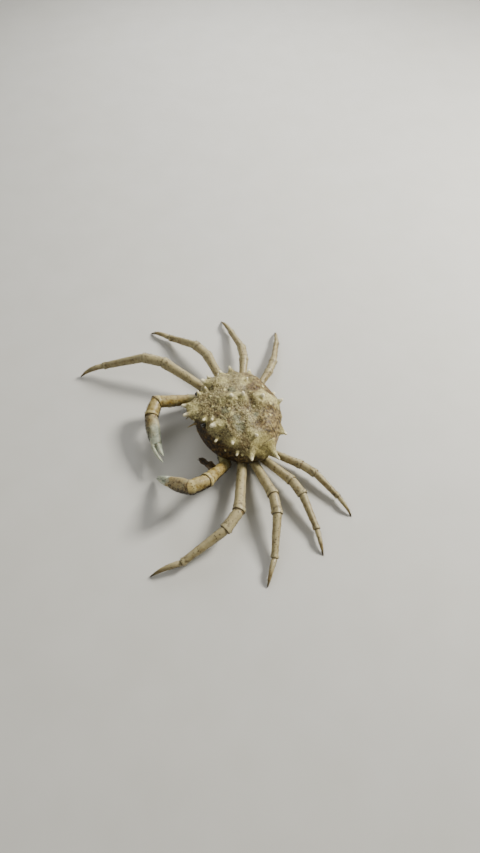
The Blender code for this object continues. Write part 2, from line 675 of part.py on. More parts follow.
def build_claw(word, parts, root, materials):
    """One claw limb: ischium, merus, carpus, palm with its fixed finger, and moving finger."""
    joints, directions = limb_joints("cheliped", word)
    approach = [stub_direction("cheliped", SIDES[word])] + directions
    lengths = LIMB_LENGTHS["cheliped"]
    up = Vector((0.0, 0.0, 1.0))
    for index, (segment, sections) in enumerate(CLAW_ARM_SECTIONS.items()):
        matrix = frame_along(joints[index], directions[index], up)
        bm = swept_bmesh(segment_rows(sections, lengths[index], 1.0), CLAW_SIDES)
        mitre_trim(bm, matrix, joints[index], approach[index], directions[index], 1.0)
        mitre_trim(bm, matrix, joints[index + 1], directions[index], directions[index + 1], -1.0)
        obj = finish_object(f"cheliped_{word}_{segment}", bm, parts, materials["claw"], matrix)
        obj.parent = root

    palm_length, finger_length = lengths[3], lengths[4]
    matrix = frame_along(joints[3], directions[3], Vector(FINGER_SIDE[word]))
    rows = segment_rows(PALM_SECTIONS, palm_length, 1.0)
    rows[-1] = (palm_length, *PALM_SECTIONS[-1][1:], 0.0)
    palm_end = PALM_SECTIONS[-1][1:]
    hook = FINGER_HOOK[word]
    fixed = finger_rows(palm_length + SPLIT_STEP, finger_length - SPLIT_STEP, palm_end, -1.0, hook)
    bm = swept_bmesh(rows + fixed, CLAW_SIDES)
    mitre_trim(bm, matrix, joints[3], approach[3], directions[3], 1.0)
    palm = finish_object(f"cheliped_{word}_palm", bm, parts, materials["claw"], matrix)
    palm.parent = root

    start = palm_length + SPLIT_STEP + GAP / MM
    moving = finger_rows(start, finger_length - FINGER_SHORT[word], palm_end, 1.0, hook)
    bm = swept_bmesh(moving, CLAW_SIDES)
    finger = finish_object(f"cheliped_{word}_dactyl", bm, parts, materials["claw"], matrix)
    finger.parent = root


def main():
    """Build the whole crab."""
    clear_scene()
    parts = make_collection("spider_crab")
    cutters = make_collection("cutters")
    materials = {name: make_material(name) for name in COLOURS}
    crab = bpy.data.objects.new("crab", None)
    body = bpy.data.objects.new("body_frame", None)
    for empty in (crab, body):
        parts.objects.link(empty)
    body.parent = crab
    body.location = Vector(BODY_CENTRE) * MM
    body.rotation_euler = (math.radians(-BODY_PITCH), 0.0, 0.0)

    build_shell(parts, cutters, body, materials["shell"])
    build_chest(parts, cutters, body, materials["belly"])
    build_flap(parts, body, materials["belly"])
    build_mouth(parts, body, materials["belly"])
    build_sensors(parts, body, materials)
    for word in SIDES:
        build_claw(word, parts, crab, materials)
        for limb in LEG_GIRTH:
            build_leg(limb, word, parts, crab, materials["limb"])


main()
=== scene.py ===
"""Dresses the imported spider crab: fine shell plates, joint skins, bristles, colours and studio.

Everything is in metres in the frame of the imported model; the tables are in millimetres and
degrees.  The crab faces -Y, its left side is +X and it rests on the floor at z = 0.
"""

import logging
import math
import random
from dataclasses import dataclass
from enum import Enum
from functools import partial
from typing import Callable, Iterable, Sequence

import bmesh
import bpy
import numpy as np
from bmesh.types import BMesh, BMFace
from bpy.types import ID, Material, Mesh, Node, NodeSocket, Object
from mathutils import Matrix, Vector, noise


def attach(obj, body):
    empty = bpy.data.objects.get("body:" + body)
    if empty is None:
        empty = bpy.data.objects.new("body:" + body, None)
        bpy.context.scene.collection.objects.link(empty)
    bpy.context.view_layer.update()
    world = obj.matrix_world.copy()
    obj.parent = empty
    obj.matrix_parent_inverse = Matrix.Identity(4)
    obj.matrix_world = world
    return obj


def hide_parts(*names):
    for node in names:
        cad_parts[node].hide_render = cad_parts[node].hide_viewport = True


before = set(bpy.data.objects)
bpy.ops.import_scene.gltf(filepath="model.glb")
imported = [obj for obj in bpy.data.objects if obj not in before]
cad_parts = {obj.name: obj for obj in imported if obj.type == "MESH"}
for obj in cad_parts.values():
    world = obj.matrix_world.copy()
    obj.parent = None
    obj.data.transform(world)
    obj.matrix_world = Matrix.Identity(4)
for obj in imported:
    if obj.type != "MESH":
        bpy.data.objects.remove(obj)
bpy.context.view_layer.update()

Array = np.ndarray
Row = Sequence[float]
Place = tuple[float, float, float]
Mask = Callable[[Array], Array]

MM = 0.001
LOG = logging.getLogger("spider_crab")
BODY = "root"
UP = Vector((0.0, 0.0, 1.0))
JOINT_GAP = 0.34                   # open space between two limb plates
SHELL_EDGE_HEIGHT = -15.2          # height of the shell's lower edge below the middle
SHELL_EDGE_SLOPE = 0.25            # the edge rises towards the rear


class Side(Enum):
    """The crab's own two sides."""

    LEFT = "left"
    RIGHT = "right"

    @property
    def sign(self) -> float:
        """+1 towards +X and -1 towards -X."""
        return 1.0 if self is Side.LEFT else -1.0


# ---- small mathematics ----------------------------------------------------------------
def ramp_between(values: Array, low: float, high: float) -> Array:
    """Smooth step from 0 at low to 1 at high.

    Args:
        values: Numbers to map.
        low: Where the step starts; it may be above high.
        high: Where the step ends.

    Returns:
        Numbers from 0 to 1.
    """
    share = np.clip((values - low) / (high - low), 0.0, 1.0)
    return share * share * (3.0 - 2.0 * share)


def bell(away: Array, width: float = 1.0) -> Array:
    """Bell curve: 1 at no distance, fading out over a width."""
    return np.exp(-0.5 * (away / width) ** 2)


def grain(points: Array, size: float, octaves: int = 2, seed: float = 0.0) -> Array:
    """Smooth noise about zero.

    Args:
        points: Places in millimetres, one a row.
        size: Width of the largest features in millimetres.
        octaves: Layers of finer detail.
        seed: Shift that gives another pattern.

    Returns:
        One number for each place, mostly from -1 to 1.
    """
    shift = Vector((seed, 1.7 * seed, -0.6 * seed))
    return np.array([noise.fractal(Vector(p) / size + shift, 1.0, 2.0, octaves) for p in points])


def beads(points: Array, size: float, fill: float, seed: float = 0.0) -> Array:
    """Scattered round bumps.

    Args:
        points: Places in millimetres, one a row.
        size: Spacing of the bumps in millimetres.
        fill: Share of the places that carry a bump.
        seed: Shift that gives another pattern.

    Returns:
        Height of the bumps from 0 to 1.
    """
    smallest, spread, stretch = 0.34, 0.2, 7.31
    heights = np.zeros(len(points))
    shift = Vector((seed, -seed, 0.5 * seed))
    for index, point in enumerate(points):
        distances, places = noise.voronoi(Vector(point) / size + shift)
        chance = 0.5 + 0.5 * noise.cell(places[0] * stretch)
        if chance < fill:
            radius = smallest + spread * chance / fill
            heights[index] = max(0.0, 1.0 - (distances[0] / radius) ** 2)
    return heights


def blend_rows(rows: Sequence[Row], share: float) -> list[float]:
    """Row of a table at a share of its length, on a smooth curve.

    Args:
        rows: Rows of equal width.
        share: Place along the table from 0 to 1.

    Returns:
        The interpolated row.
    """
    span = share * (len(rows) - 1)
    index = min(int(span), len(rows) - 2)
    t = span - index
    before, after = rows[max(index - 1, 0)], rows[min(index + 2, len(rows) - 1)]
    mixed = []
    for a, b, c, d in zip(before, rows[index], rows[index + 1], after):
        bend = 2.0 * a - 5.0 * b + 4.0 * c - d
        twist = 3.0 * (b - c) + d - a
        mixed.append(b + 0.5 * t * ((c - a) + t * (bend + t * twist)))
    return mixed


def eased(value: float, power: float) -> float:
    """Signed power, which squares or pinches an oval."""
    return math.copysign(abs(value) ** power, value)


def frame_along(origin: Vector, direction: Vector, upward: Vector) -> Matrix:
    """Frame whose Z runs along a direction and whose X leans upward.

    Args:
        origin: Where the frame stands.
        direction: Direction of its Z.
        upward: Direction that its X leans towards.

    Returns:
        The frame as a matrix.
    """
    along = direction.normalized()
    over = (upward - along * upward.dot(along)).normalized()
    turn = Matrix((over, along.cross(over), along)).transposed().to_4x4()
    return Matrix.Translation(origin) @ turn


def within(matrix: Matrix, points: Array) -> Array:
    """World places in a frame's own terms, in millimetres."""
    inverse = np.array(matrix.inverted())
    return (points @ inverse[:3, :3].T + inverse[:3, 3]) / MM


def heading(sign: float, outward: float, rise: float) -> Vector:
    """Unit vector from an angle out from straight ahead and a rise, in degrees."""
    out, lift = math.radians(outward), math.radians(rise)
    flat = math.cos(lift)
    return Vector((sign * math.sin(out) * flat, -math.cos(out) * flat, math.sin(lift)))


# ---- the body's stance ----------------------------------------------------------------
@dataclass(frozen=True)
class Stance:
    """Where the body's own frame stands: forward, sideways and height from its middle."""

    centre: Place = (0.0, -9.6, 28.0)
    pitch: float = 20.8

    def point(self, forward: float, sideways: float, height: float) -> Vector:
        """A place in the body's frame, in metres."""
        return Vector((sideways, -forward, height)) * MM

    def paired(self, place: Row, sign: float) -> Vector:
        """A place of a pair in the body's frame: sign 1 is as given, -1 is across the body."""
        return self.point(place[0], place[1] * sign, place[2])

    def terms(self, point: Vector) -> Array:
        """A place of the body's frame as forward, sideways and height, in millimetres."""
        return np.array((-point.y, point.x, point.z)) / MM

    def matrix(self) -> Matrix:
        """The body's frame in the world."""
        turn = Matrix.Rotation(math.radians(-self.pitch), 4, "X")
        return Matrix.Translation(Vector(self.centre) * MM) @ turn

    def measures(self, points: Array) -> Array:
        """World places, one a row, as forward, sideways and height in millimetres."""
        x, y, z = within(self.matrix(), points).T
        return np.column_stack((-y, x, z))


STANCE = Stance()


def edge_height(forward: Array) -> Array:
    """Height of the shell's lower edge at a place along the body."""
    return SHELL_EDGE_HEIGHT - SHELL_EDGE_SLOPE * forward


def edge_plane() -> tuple[Vector, Vector]:
    """Point and downward normal of the shell's lower edge, in the body's frame."""
    return (STANCE.point(0.0, 0.0, SHELL_EDGE_HEIGHT),
            Vector((0.0, SHELL_EDGE_SLOPE, -1.0)).normalized())


def level_plane(height: float) -> tuple[Vector, Vector]:
    """Point and downward normal, in the body's frame, of a plane some metres off the floor."""
    inverse = STANCE.matrix().inverted()
    return inverse @ (UP * height), (inverse.to_3x3() @ -UP).normalized()


# ---- meshes ---------------------------------------------------------------------------
def trim(bm: BMesh, point: Vector, outward: Vector) -> list[BMFace]:
    """Cuts off what lies beyond a plane and closes the cut.

    Args:
        bm: Mesh to cut.
        point: A point of the plane.
        outward: Normal towards what goes.

    Returns:
        The faces that close the cut.
    """
    geometry = bm.verts[:] + bm.edges[:] + bm.faces[:]
    bmesh.ops.bisect_plane(bm, geom=geometry, dist=1e-7, plane_co=point, plane_no=outward,
                           clear_outer=True)
    rim = [edge for edge in bm.edges if edge.is_boundary]
    return bmesh.ops.holes_fill(bm, edges=rim)["faces"] if rim else []


def oval_place(row: Row, turn: float, power: float) -> Vector:
    """Place on an oval cross-section with different upper and lower halves.

    Args:
        row: Forward, half width, margin height, top and bottom of the section.
        turn: Angle round it, from the left margin upwards.
        power: Its fullness; below 1 squares it.

    Returns:
        The place in the body's frame, in metres.
    """
    forward, width, margin, top, bottom = row
    reach = (top - margin) if math.sin(turn) >= 0.0 else (margin - bottom)
    return STANCE.point(forward, width * eased(math.cos(turn), power),
                        margin + reach * eased(math.sin(turn), power))


def shell_place(row: Row, turn: float, flank: float = 0.62) -> Vector:
    """Place on a shell's cross-section, domed above and bulging under the margin.

    Args:
        row: An oval's five numbers, then the flank's bulge and the dome's fullness.
        turn: Angle round it, from the left margin upwards.
        flank: Fullness of the lower half.

    Returns:
        The place in the body's frame, in metres.
    """
    *oval, flare, dome = row
    if math.sin(turn) >= 0.0:
        return oval_place(oval, turn, dome)
    oval[1] += flare * math.sin(math.pi * -math.sin(turn))
    return oval_place(oval, turn, flank)


def sphere(around: int, along: int) -> BMesh:
    """A unit sphere whose faces come in the same order at every run.

    Args:
        around: Points round it.
        along: Rings from pole to pole.

    Returns:
        The mesh, with its poles on Z.
    """
    source, bm = bmesh.new(), bmesh.new()
    bmesh.ops.create_uvsphere(source, u_segments=around, v_segments=along, radius=1.0)
    source.verts.index_update()
    verts = [bm.verts.new(vert.co) for vert in source.verts]
    for indices in sorted(([vert.index for vert in face.verts] for face in source.faces),
                          key=sorted):
        bm.faces.new([verts[index] for index in indices])
    bm.normal_update()
    source.free()
    return bm


def body_blank(rows: Sequence[Row], around: int, along: int,
               place: Callable[[Row, float], Vector]) -> BMesh:
    """Closed body through cross-sections, from a sphere with its poles fore and aft.

    Args:
        rows: The table of cross-sections.
        around: Points round a section.
        along: Sections from the front to the rear.
        place: Gives the place at an angle round a section.

    Returns:
        The mesh in the body's frame.
    """
    bm = bmesh.new()
    bmesh.ops.create_uvsphere(bm, u_segments=around, v_segments=along, radius=1.0)
    for vert in bm.verts:
        share = math.acos(max(-1.0, min(1.0, vert.co.z))) / math.pi
        row = blend_rows(rows, share)
        row[1] = max(row[1], 0.0)
        vert.co = place(row, math.atan2(vert.co.y, vert.co.x))
    bmesh.ops.remove_doubles(bm, verts=bm.verts, dist=0.005 * MM)
    bmesh.ops.recalc_face_normals(bm, faces=bm.faces)
    return bm


def tube_blank(rows: Sequence[Row], sides: int, rings: int,
               shape: Callable[[float, float], float] | None = None) -> BMesh:
    """Closed body along +Z through oval sections, from a sphere with its poles at the ends.

    Args:
        rows: Place along, radius along X, radius along Y and shift along X of each section.
        sides: Points round a section.
        rings: Sections from end to end.
        shape: Extra radius in millimetres at a place along and an angle from +X.

    Returns:
        The mesh in the segment's own frame.
    """
    bm = sphere(sides, rings)
    for vert in bm.verts:
        ring = round(math.acos(max(-1.0, min(1.0, vert.co.z))) / math.pi * rings)
        share = min(max((ring - 1) / (rings - 2), 0.0), 1.0)
        along, high, wide, shift = blend_rows(rows, share)
        if 0 < ring < rings:
            turn = math.atan2(vert.co.y, vert.co.x)
            extra = shape(along, turn) if shape else 0.0
            vert.co = Vector(((high + extra) * math.cos(turn) + shift,
                              (wide + extra) * math.sin(turn), along)) * MM
        else:
            vert.co = Vector((shift, 0.0, along)) * MM
    bmesh.ops.recalc_face_normals(bm, faces=bm.faces)
    return bm


def round_rows(sections: Iterable[Row]) -> list[Row]:
    """A tube's rows from places along it and radii."""
    return [(along, radius, radius, 0.0) for along, radius in sections]


def thorn_girth(share: Array, radius: float, point: float, foot: float, power: float) -> Array:
    """Radius of a spine at a share of its length.

    Args:
        share: From 0 at the foot to 1 at the tip.
        radius: Radius at the foot.
        point: Radius at the tip.
        foot: How much wider the foot spreads.
        power: 1 for straight sides, more for hollow ones.

    Returns:
        The radius, in the unit of the radii.
    """
    rest = 1.0 - share
    return point + (radius - point) * rest ** power + foot * np.exp(-share / 0.35) * rest


def thorn(root: Vector, tip: Vector, radius: float, point: float, foot: float,
          lift: Vector) -> BMesh:
    """A pointed spine spun round its axis, with a flared foot and a slight bend.

    Args:
        root: Middle of its foot.
        tip: Its point.
        radius: Radius at the foot, in metres.
        point: Radius at the point, in metres.
        foot: How much wider the foot spreads, in metres.
        lift: How far its middle bends aside.

    Returns:
        The mesh in the frame of its two ends.
    """
    steps, cap = 14, 0.9
    length = (tip - root).length
    bm = bmesh.new()
    before = bm.verts.new((0.0, 0.0, 0.0))
    for index in range(steps + 1):
        share = index / steps
        wide = thorn_girth(share, radius, point, foot, 1.05)
        if share > cap:
            wide *= math.sqrt(max(0.0, 1.0 - ((share - cap) / (1.0 - cap)) ** 2))
        vert = bm.verts.new((wide, 0.0, share * length))
        bm.edges.new((before, vert))
        before = vert
    bmesh.ops.spin(bm, geom=bm.verts[:] + bm.edges[:], cent=(0, 0, 0), axis=(0, 0, 1),
                   dvec=(0, 0, 0), angle=math.tau, steps=16, use_merge=True)
    bmesh.ops.remove_doubles(bm, verts=bm.verts, dist=0.01 * MM)
    bmesh.ops.recalc_face_normals(bm, faces=bm.faces)
    bm.transform(frame_along(root, tip - root, Vector((0.0, 0.1, 1.0))))
    for vert in bm.verts:
        share = (vert.co - root).dot(tip - root) / length ** 2
        vert.co += lift * (4.0 * share * (1.0 - share))
    return bm


def join(bm: BMesh, extra: BMesh) -> None:
    """Adds one bmesh to another and frees it."""
    mesh = bpy.data.meshes.new("joined")
    extra.to_mesh(mesh)
    extra.free()
    bm.from_mesh(mesh)
    bpy.data.meshes.remove(mesh)


def linked(name: str, data: ID) -> Object:
    """Puts a mesh, lamp or camera into the scene as an object at the origin."""
    obj = bpy.data.objects.new(name, data)
    bpy.context.scene.collection.objects.link(obj)
    return obj


def rank(face: BMFace) -> float:
    """Number that sorts faces by their points, the same way at every run."""
    indices = [vert.index for vert in face.verts]
    return min(indices) * 1e10 + max(indices) * 1e5 + sum(indices) % 1e5


def new_object(name: str, bm: BMesh) -> Object:
    """Stores a bmesh as an object and frees it."""
    bm.verts.index_update()
    bm.faces.sort(key=rank)
    mesh = bpy.data.meshes.new(name)
    bm.to_mesh(mesh)
    bm.free()
    return linked(name, mesh)


def settle(obj: Object) -> Object:
    """Applies an object's modifiers to its mesh.

    Args:
        obj: Object with modifiers.

    Returns:
        The same object with a plain mesh.
    """
    graph = bpy.context.evaluated_depsgraph_get()
    done = bpy.data.meshes.new_from_object(obj.evaluated_get(graph))
    old, name = obj.data, obj.data.name
    obj.modifiers.clear()
    obj.data = done
    bpy.data.meshes.remove(old)
    done.name = name
    return obj


def remeshed(obj: Object, voxel: float) -> Object:
    """Makes an object's overlapping bodies one even skin of small squares."""
    modifier = obj.modifiers.new("even", "REMESH")
    modifier.mode = "VOXEL"
    modifier.voxel_size = voxel * MM
    return settle(obj)


class Surface:
    """A mesh's points as arrays, to smooth, push out and paint."""

    def __init__(self, mesh: Mesh) -> None:
        """Reads the mesh's points and edges."""
        self.mesh = mesh
        self.count = len(mesh.vertices)
        flat = np.empty(self.count * 3)
        mesh.vertices.foreach_get("co", flat)
        self.points = flat.reshape(-1, 3)
        ends = np.empty(len(mesh.edges) * 2, dtype=np.int64)
        mesh.edges.foreach_get("vertices", ends)
        self.ends = ends.reshape(-1, 2)
        self.degree = np.maximum(np.bincount(ends, minlength=self.count), 1)

    def averaged(self, values: Array) -> Array:
        """Mean of each point's neighbours, for one row of values a point."""
        a, b = self.ends.T
        total = [np.bincount(a, column[b], self.count) + np.bincount(b, column[a], self.count)
                 for column in values.T]
        return np.column_stack(total) / self.degree[:, None]

    def smooth(self, rounds: int, strength: Array | float = 0.5) -> None:
        """Draws each point towards its neighbours.

        Args:
            rounds: Number of passes.
            strength: Share of the way, for all points or for each.
        """
        weight = np.broadcast_to(np.asarray(strength, float), (self.count,))[:, None]
        for _ in range(rounds):
            self.points += (self.averaged(self.points) - self.points) * weight

    def store(self) -> None:
        """Writes the points back to the mesh."""
        self.mesh.vertices.foreach_set("co", self.points.ravel())
        self.mesh.update()

    def normals(self) -> Array:
        """Outward direction at each point."""
        self.store()
        flat = np.empty(self.count * 3)
        self.mesh.vertex_normals.foreach_get("vector", flat)
        return flat.reshape(-1, 3)

    def push(self, depth: Array) -> None:
        """Moves each point along its normal by a depth in millimetres."""
        self.points += self.normals() * (depth * MM)[:, None]

    def hollow(self, rounds: int, span: float) -> Array:
        """How far each point lies in a dent.

        Args:
            rounds: Passes of smoothing that set how wide a dent counts.
            span: Depth in millimetres that gives 1.

        Returns:
            From -1 on a crest to 1 in a dent.
        """
        even = self.points
        for _ in range(rounds):
            even = self.averaged(even)
        depth = np.einsum("ij,ij->i", even - self.points, self.normals())
        return np.clip(depth / MM / span, -1.0, 1.0)

    def paint(self, name: str, *channels: Array | float) -> None:
        """Stores up to three masks from 0 to 1 as one colour attribute.

        Args:
            name: The attribute's name.
            channels: Its red, green and blue, 0 where one is left out.
        """
        values = np.zeros((self.count, 4))
        values[:, 3] = 1.0
        for index, channel in enumerate(channels):
            values[:, index] = np.clip(channel, 0.0, 1.0)
        layer = self.mesh.color_attributes.new(name, "FLOAT_COLOR", "POINT")
        layer.data.foreach_set("color", values.astype(np.float32).ravel())


# ---- finishes -------------------------------------------------------------------------
def shade(code: str) -> tuple[float, float, float, float]:
    """Turns a six-digit colour code into linear red, green, blue and alpha."""
    parts = [int(code[i:i + 2], 16) / 255.0 for i in (0, 2, 4)]
    linear = [p / 12.92 if p <= 0.04045 else ((p + 0.055) / 1.055) ** 2.4 for p in parts]
    return (*linear, 1.0)


class Graph:
    """Short calls that build one material's nodes."""

    def __init__(self, name: str, roughness: float = 0.5) -> None:
        """Starts a material with a Principled shader."""
        self.material = bpy.data.materials.new(name)
        self.material.use_nodes = True
        self.tree = self.material.node_tree
        self.shader = self.tree.nodes["Principled BSDF"]
        self.shader.inputs["Roughness"].default_value = roughness
        self.place = self.add("ShaderNodeTexCoord").outputs["Object"]

    def feed(self, socket: NodeSocket, value: object) -> None:
        """Links an output to a socket, or sets its value or its colour from a code."""
        if isinstance(value, NodeSocket):
            self.tree.links.new(value, socket)
        else:
            socket.default_value = shade(value) if isinstance(value, str) else value

    def feed_all(self, node: Node, inputs: dict[str, object]) -> None:
        """Feeds a node's inputs by name, with _ for a space; None leaves one alone."""
        for name, value in inputs.items():
            if value is not None:
                self.feed(node.inputs[name.replace("_", " ")], value)

    def add(self, kind: str, **inputs: object) -> Node:
        """Adds a node and feeds it."""
        node = self.tree.nodes.new(kind)
        self.feed_all(node, inputs)
        return node

    def noise(self, size: float, detail: float = 3.0, rough: float = 0.55,
              twist: float = 0.0) -> NodeSocket:
        """Noise with features of a size in millimetres."""
        return self.add("ShaderNodeTexNoise", Vector=self.place, Scale=1.0 / (size * MM),
                        Detail=detail, Roughness=rough, Distortion=twist).outputs["Fac"]

    def cells(self, size: float, randomness: float = 1.0) -> NodeSocket:
        """Distance to scattered points with a spacing in millimetres."""
        return self.add("ShaderNodeTexVoronoi", Vector=self.place, Scale=1.0 / (size * MM),
                        Randomness=randomness).outputs["Distance"]

    def ramp(self, value: NodeSocket, places: Sequence[float],
             tones: Sequence[object]) -> NodeSocket:
        """Colour ramp.

        Args:
            value: What it reads.
            places: Its stops, from 0 to 1.
            tones: A colour code, or a grey from 0 to 1, for each stop.

        Returns:
            Its colour.
        """
        node = self.add("ShaderNodeValToRGB", Fac=value)
        elements = node.color_ramp.elements
        while len(elements) < len(places):
            elements.new(0.5)
        for element, place, tone in zip(elements, places, tones):
            element.position = place
            element.color = shade(tone) if isinstance(tone, str) else (tone, tone, tone, 1.0)
        return node.outputs["Color"]

    def over(self, colour: object, *layers: tuple[object, object]) -> object:
        """Lays tones over a colour in turn.

        Args:
            colour: The lowest colour.
            layers: Mask and tone of each layer.

        Returns:
            The mixed colour.
        """
        for layer in layers:
            node = self.add("ShaderNodeMix")
            node.data_type, node.clamp_factor = "RGBA", True
            factor, first, second = (node.inputs[index] for index in (0, 6, 7))
            self.feed(factor, layer[0])
            self.feed(first, colour)
            self.feed(second, layer[1])
            colour = node.outputs[2]
        return colour

    def math(self, how: str, first: object, second: object) -> NodeSocket:
        """A sum, product or other clamped operation on two numbers."""
        node = self.add("ShaderNodeMath")
        node.operation, node.use_clamp = how, True
        self.feed(node.inputs[0], first)
        self.feed(node.inputs[1], second)
        return node.outputs[0]

    def masks(self, name: str) -> tuple[NodeSocket, ...]:
        """The three masks of a painted attribute."""
        node = self.add("ShaderNodeAttribute")
        node.attribute_name = name
        return tuple(self.add("ShaderNodeSeparateColor", Color=node.outputs["Color"]).outputs[:3])

    def bump(self, height: NodeSocket, depth: float, strength: float,
             under: NodeSocket | None = None) -> NodeSocket:
        """Surface relief of a depth in millimetres, over another relief if there is one."""
        return self.add("ShaderNodeBump", Strength=strength, Distance=depth * MM, Height=height,
                        Normal=under).outputs["Normal"]

    def finish(self, colour: object, normal: object = None, roughness: object = None,
               **sockets: float) -> Material:
        """Feeds the shader.

        Args:
            colour: Base colour.
            normal: Relief, if any.
            roughness: Roughness where it varies.
            sockets: Constant values for named sockets, with _ for a space.

        Returns:
            The finished material.
        """
        self.feed_all(self.shader, {"Base Color": colour, "Normal": normal,
                                    "Roughness": roughness, **sockets})
        return self.material


@dataclass(frozen=True)
class ShellFinish:
    """Mottled wet shell: tan and brown with silt, cream swellings and white spine tips, with
    painted shade in its dents and on its underside.
    """

    browns: tuple[str, str, str, str] = ("1F1508", "514021", "7C683C", "A08F5C")
    silt: tuple[str, str, str, str] = ("281F12", "65593A", "928859", "C6BD8A")
    golden: tuple[str, str] = ("8A7E4C", "AFA366")
    cream: tuple[str, str] = ("AB9E62", "D8D093")
    # underside tones: its dark fuzz, darkened further as painted shade
    flank: tuple[str, str, str] = ("120C05", "35260F", "70572A")
    rust: str = "4C2F0C"
    slate: str = "5F654D"
    tip: str = "F3EBC6"

    def material(self) -> Material:
        """The shell's material."""
        graph = Graph("wet_mottled_shell")
        # hollow, the third mask, is painted shade in the shell's dents
        tip, lump, hollow = graph.masks("wear")
        silt, golden, flank = graph.masks("zone")
        rust, slate, crest = graph.masks("patch")
        broad, medium = graph.noise(5.5, 3, 0.6), graph.noise(2.2, 4, 0.65)
        fine, finest = graph.noise(0.9, 3, 0.7), graph.noise(0.7, 2, 0.6)
        salt = graph.ramp(fine, (0.37, 0.46, 0.53, 0.64), self.silt)
        patchy = graph.ramp(broad, (0.36, 0.56), (0.35, 1.0))
        colour = graph.over(
            graph.ramp(medium, (0.34, 0.44, 0.52, 0.64), self.browns),
            (graph.math("MULTIPLY", silt, patchy), salt),
            (golden, graph.ramp(medium, (0.4, 0.62), self.golden)),
            (rust, self.rust),
            (slate, self.slate),
            # underside below the margin: dark fuzz with painted shade
            (flank, graph.ramp(medium, (0.34, 0.5, 0.66), self.flank)),
            # painted shade in the dents, in the underside's middle brown
            (hollow, self.flank[1]),
            (lump, graph.ramp(medium, (0.36, 0.6), self.cream)),
            (crest, self.cream[1]))
        specks = graph.math("MULTIPLY", graph.ramp(graph.cells(1.7), (0.16, 0.26), (1.0, 0.0)),
                            graph.ramp(broad, (0.42, 0.56), (0.1, 0.8)))
        shadow = graph.ramp(finest, (0.38, 0.47), (0.5, 0.0))
        glint = graph.ramp(finest, (0.58, 0.68), (0.0, 0.7))
        colour = graph.over(
            colour,
            (graph.math("SUBTRACT", specks, tip), self.flank[0]),
            (tip, self.tip),
            (graph.math("SUBTRACT", shadow, tip), self.browns[0]),
            (graph.math("MULTIPLY", glint, silt), self.silt[3]))
        relief = graph.bump(finest, 0.3, 0.6, graph.bump(fine, 0.5, 0.7))
        wet = graph.ramp(medium, (0.35, 0.65), (0.42, 0.68))
        return graph.finish(colour, relief, wet, Coat_Weight=0.06, Coat_Roughness=0.3,
                            Specular_IOR_Level=0.32)


@dataclass(frozen=True)
class PlateFinish:
    """Horny plate of a limb or of the belly, with spots, pale rims, dark marks and painted shade
    in its dents and joint ends.
    """

    name: str
    tones: tuple[str, str, str]
    spots: str
    pale: tuple[str, str]
    rim: str
    shadow: str
    spot_size: float = 2.2
    coat: float = 0.1
    clear: float = 0.0
    rim_share: float = 0.35
    patches: str = "7B6136"

    def material(self) -> Material:
        """The plates' material."""
        graph = Graph(self.name)
        # hollow, the third mask, is painted shade in the dents and joint ends
        pale, rim, hollow = graph.masks("wear")
        smudge, crest, stain = graph.masks("zone")
        medium, fine = graph.noise(3.4, 4, 0.6, 0.4), graph.noise(0.8, 3, 0.65)
        patchy = graph.ramp(graph.noise(4.6, 4, 0.7, 0.6), (0.46, 0.62), (0.0, 0.6))
        ragged = graph.ramp(graph.noise(1.1, 3), (0.3, 0.7), (0.0, 0.34))
        spread = graph.math("SUBTRACT", graph.cells(self.spot_size), ragged)
        dots = graph.math("MULTIPLY", graph.ramp(spread, (0.04, 0.12), (1.0, 0.0)),
                          graph.ramp(graph.noise(6.0, 2), (0.42, 0.6), (0.0, 0.8)))
        colour = graph.over(
            graph.ramp(medium, (0.32, 0.5, 0.68), self.tones),
            (graph.ramp(fine, (0.42, 0.66), (0.0, 0.3)), self.tones[0]),
            (patchy, self.patches),
            (graph.math("MULTIPLY", rim, self.rim_share), self.rim),
            (crest, self.rim),
            (graph.math("SUBTRACT", dots, pale), self.spots),
            (pale, graph.ramp(medium, (0.35, 0.65), self.pale)),
            (smudge, self.spots),
            (stain, self.shadow),
            # painted shade in the dents and joint ends
            (hollow, self.shadow))
        wet = graph.ramp(medium, (0.35, 0.65), (0.38, 0.6))
        return graph.finish(colour, graph.bump(fine, 0.2, 0.45), wet, Coat_Weight=self.coat,
                            Coat_Roughness=0.25, Specular_IOR_Level=0.38,
                            Subsurface_Weight=self.clear, Subsurface_Scale=0.002)


@dataclass(frozen=True)
class SimpleFinish:
    """Two tones of noise with a relief, for skins, bristles and weed."""

    name: str
    tones: tuple[str, str]
    size: float = 1.5
    roughness: float = 0.5
    depth: float = 0.12
    coat: float = 0.0

    def material(self) -> Material:
        """The piece's material."""
        graph = Graph(self.name, self.roughness)
        colour = graph.ramp(graph.noise(self.size, 4, 0.6), (0.36, 0.64), self.tones)
        relief = graph.bump(graph.noise(self.size * 0.4, 2), self.depth, 0.6)
        return graph.finish(colour, relief, Coat_Weight=self.coat, Coat_Roughness=0.1)


def eye_material() -> Material:
    """Near-black glossy eye with a faint net of facets."""
    graph = Graph("glossy_eye", 0.12)
    facets = graph.cells(0.16, 0.2)
    return graph.finish(graph.ramp(facets, (0.2, 0.7), ("050403", "1C130B")),
                        graph.bump(facets, 0.02, 0.3), Coat_Weight=1.0, Coat_Roughness=0.03)


def floor_material() -> Material:
    """Plain pale studio floor."""
    graph = Graph("pale_floor", 0.7)
    return graph.finish(graph.ramp(graph.noise(40.0, 2), (0.3, 0.7), ("C9C8C1", "CDCCC6")))


def dress(obj: Object, slot: str | None, materials: Sequence[Material],
          nodes: Sequence[str] = ()) -> Object:
    """Gives a piece its materials and its body, and hides the nodes that it stands for.

    Args:
        obj: The piece.
        slot: Not used.
        materials: Its materials in order.
        nodes: CAD nodes that it replaces.

    Returns:
        The same piece.
    """
    obj.data.materials.clear()
    for material in materials:
        obj.data.materials.append(material)
    obj.data.shade_smooth()
    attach(obj, BODY)
    if nodes:
        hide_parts(*nodes)
    LOG.info("%s: %d faces", obj.name, len(obj.data.polygons))
    return obj



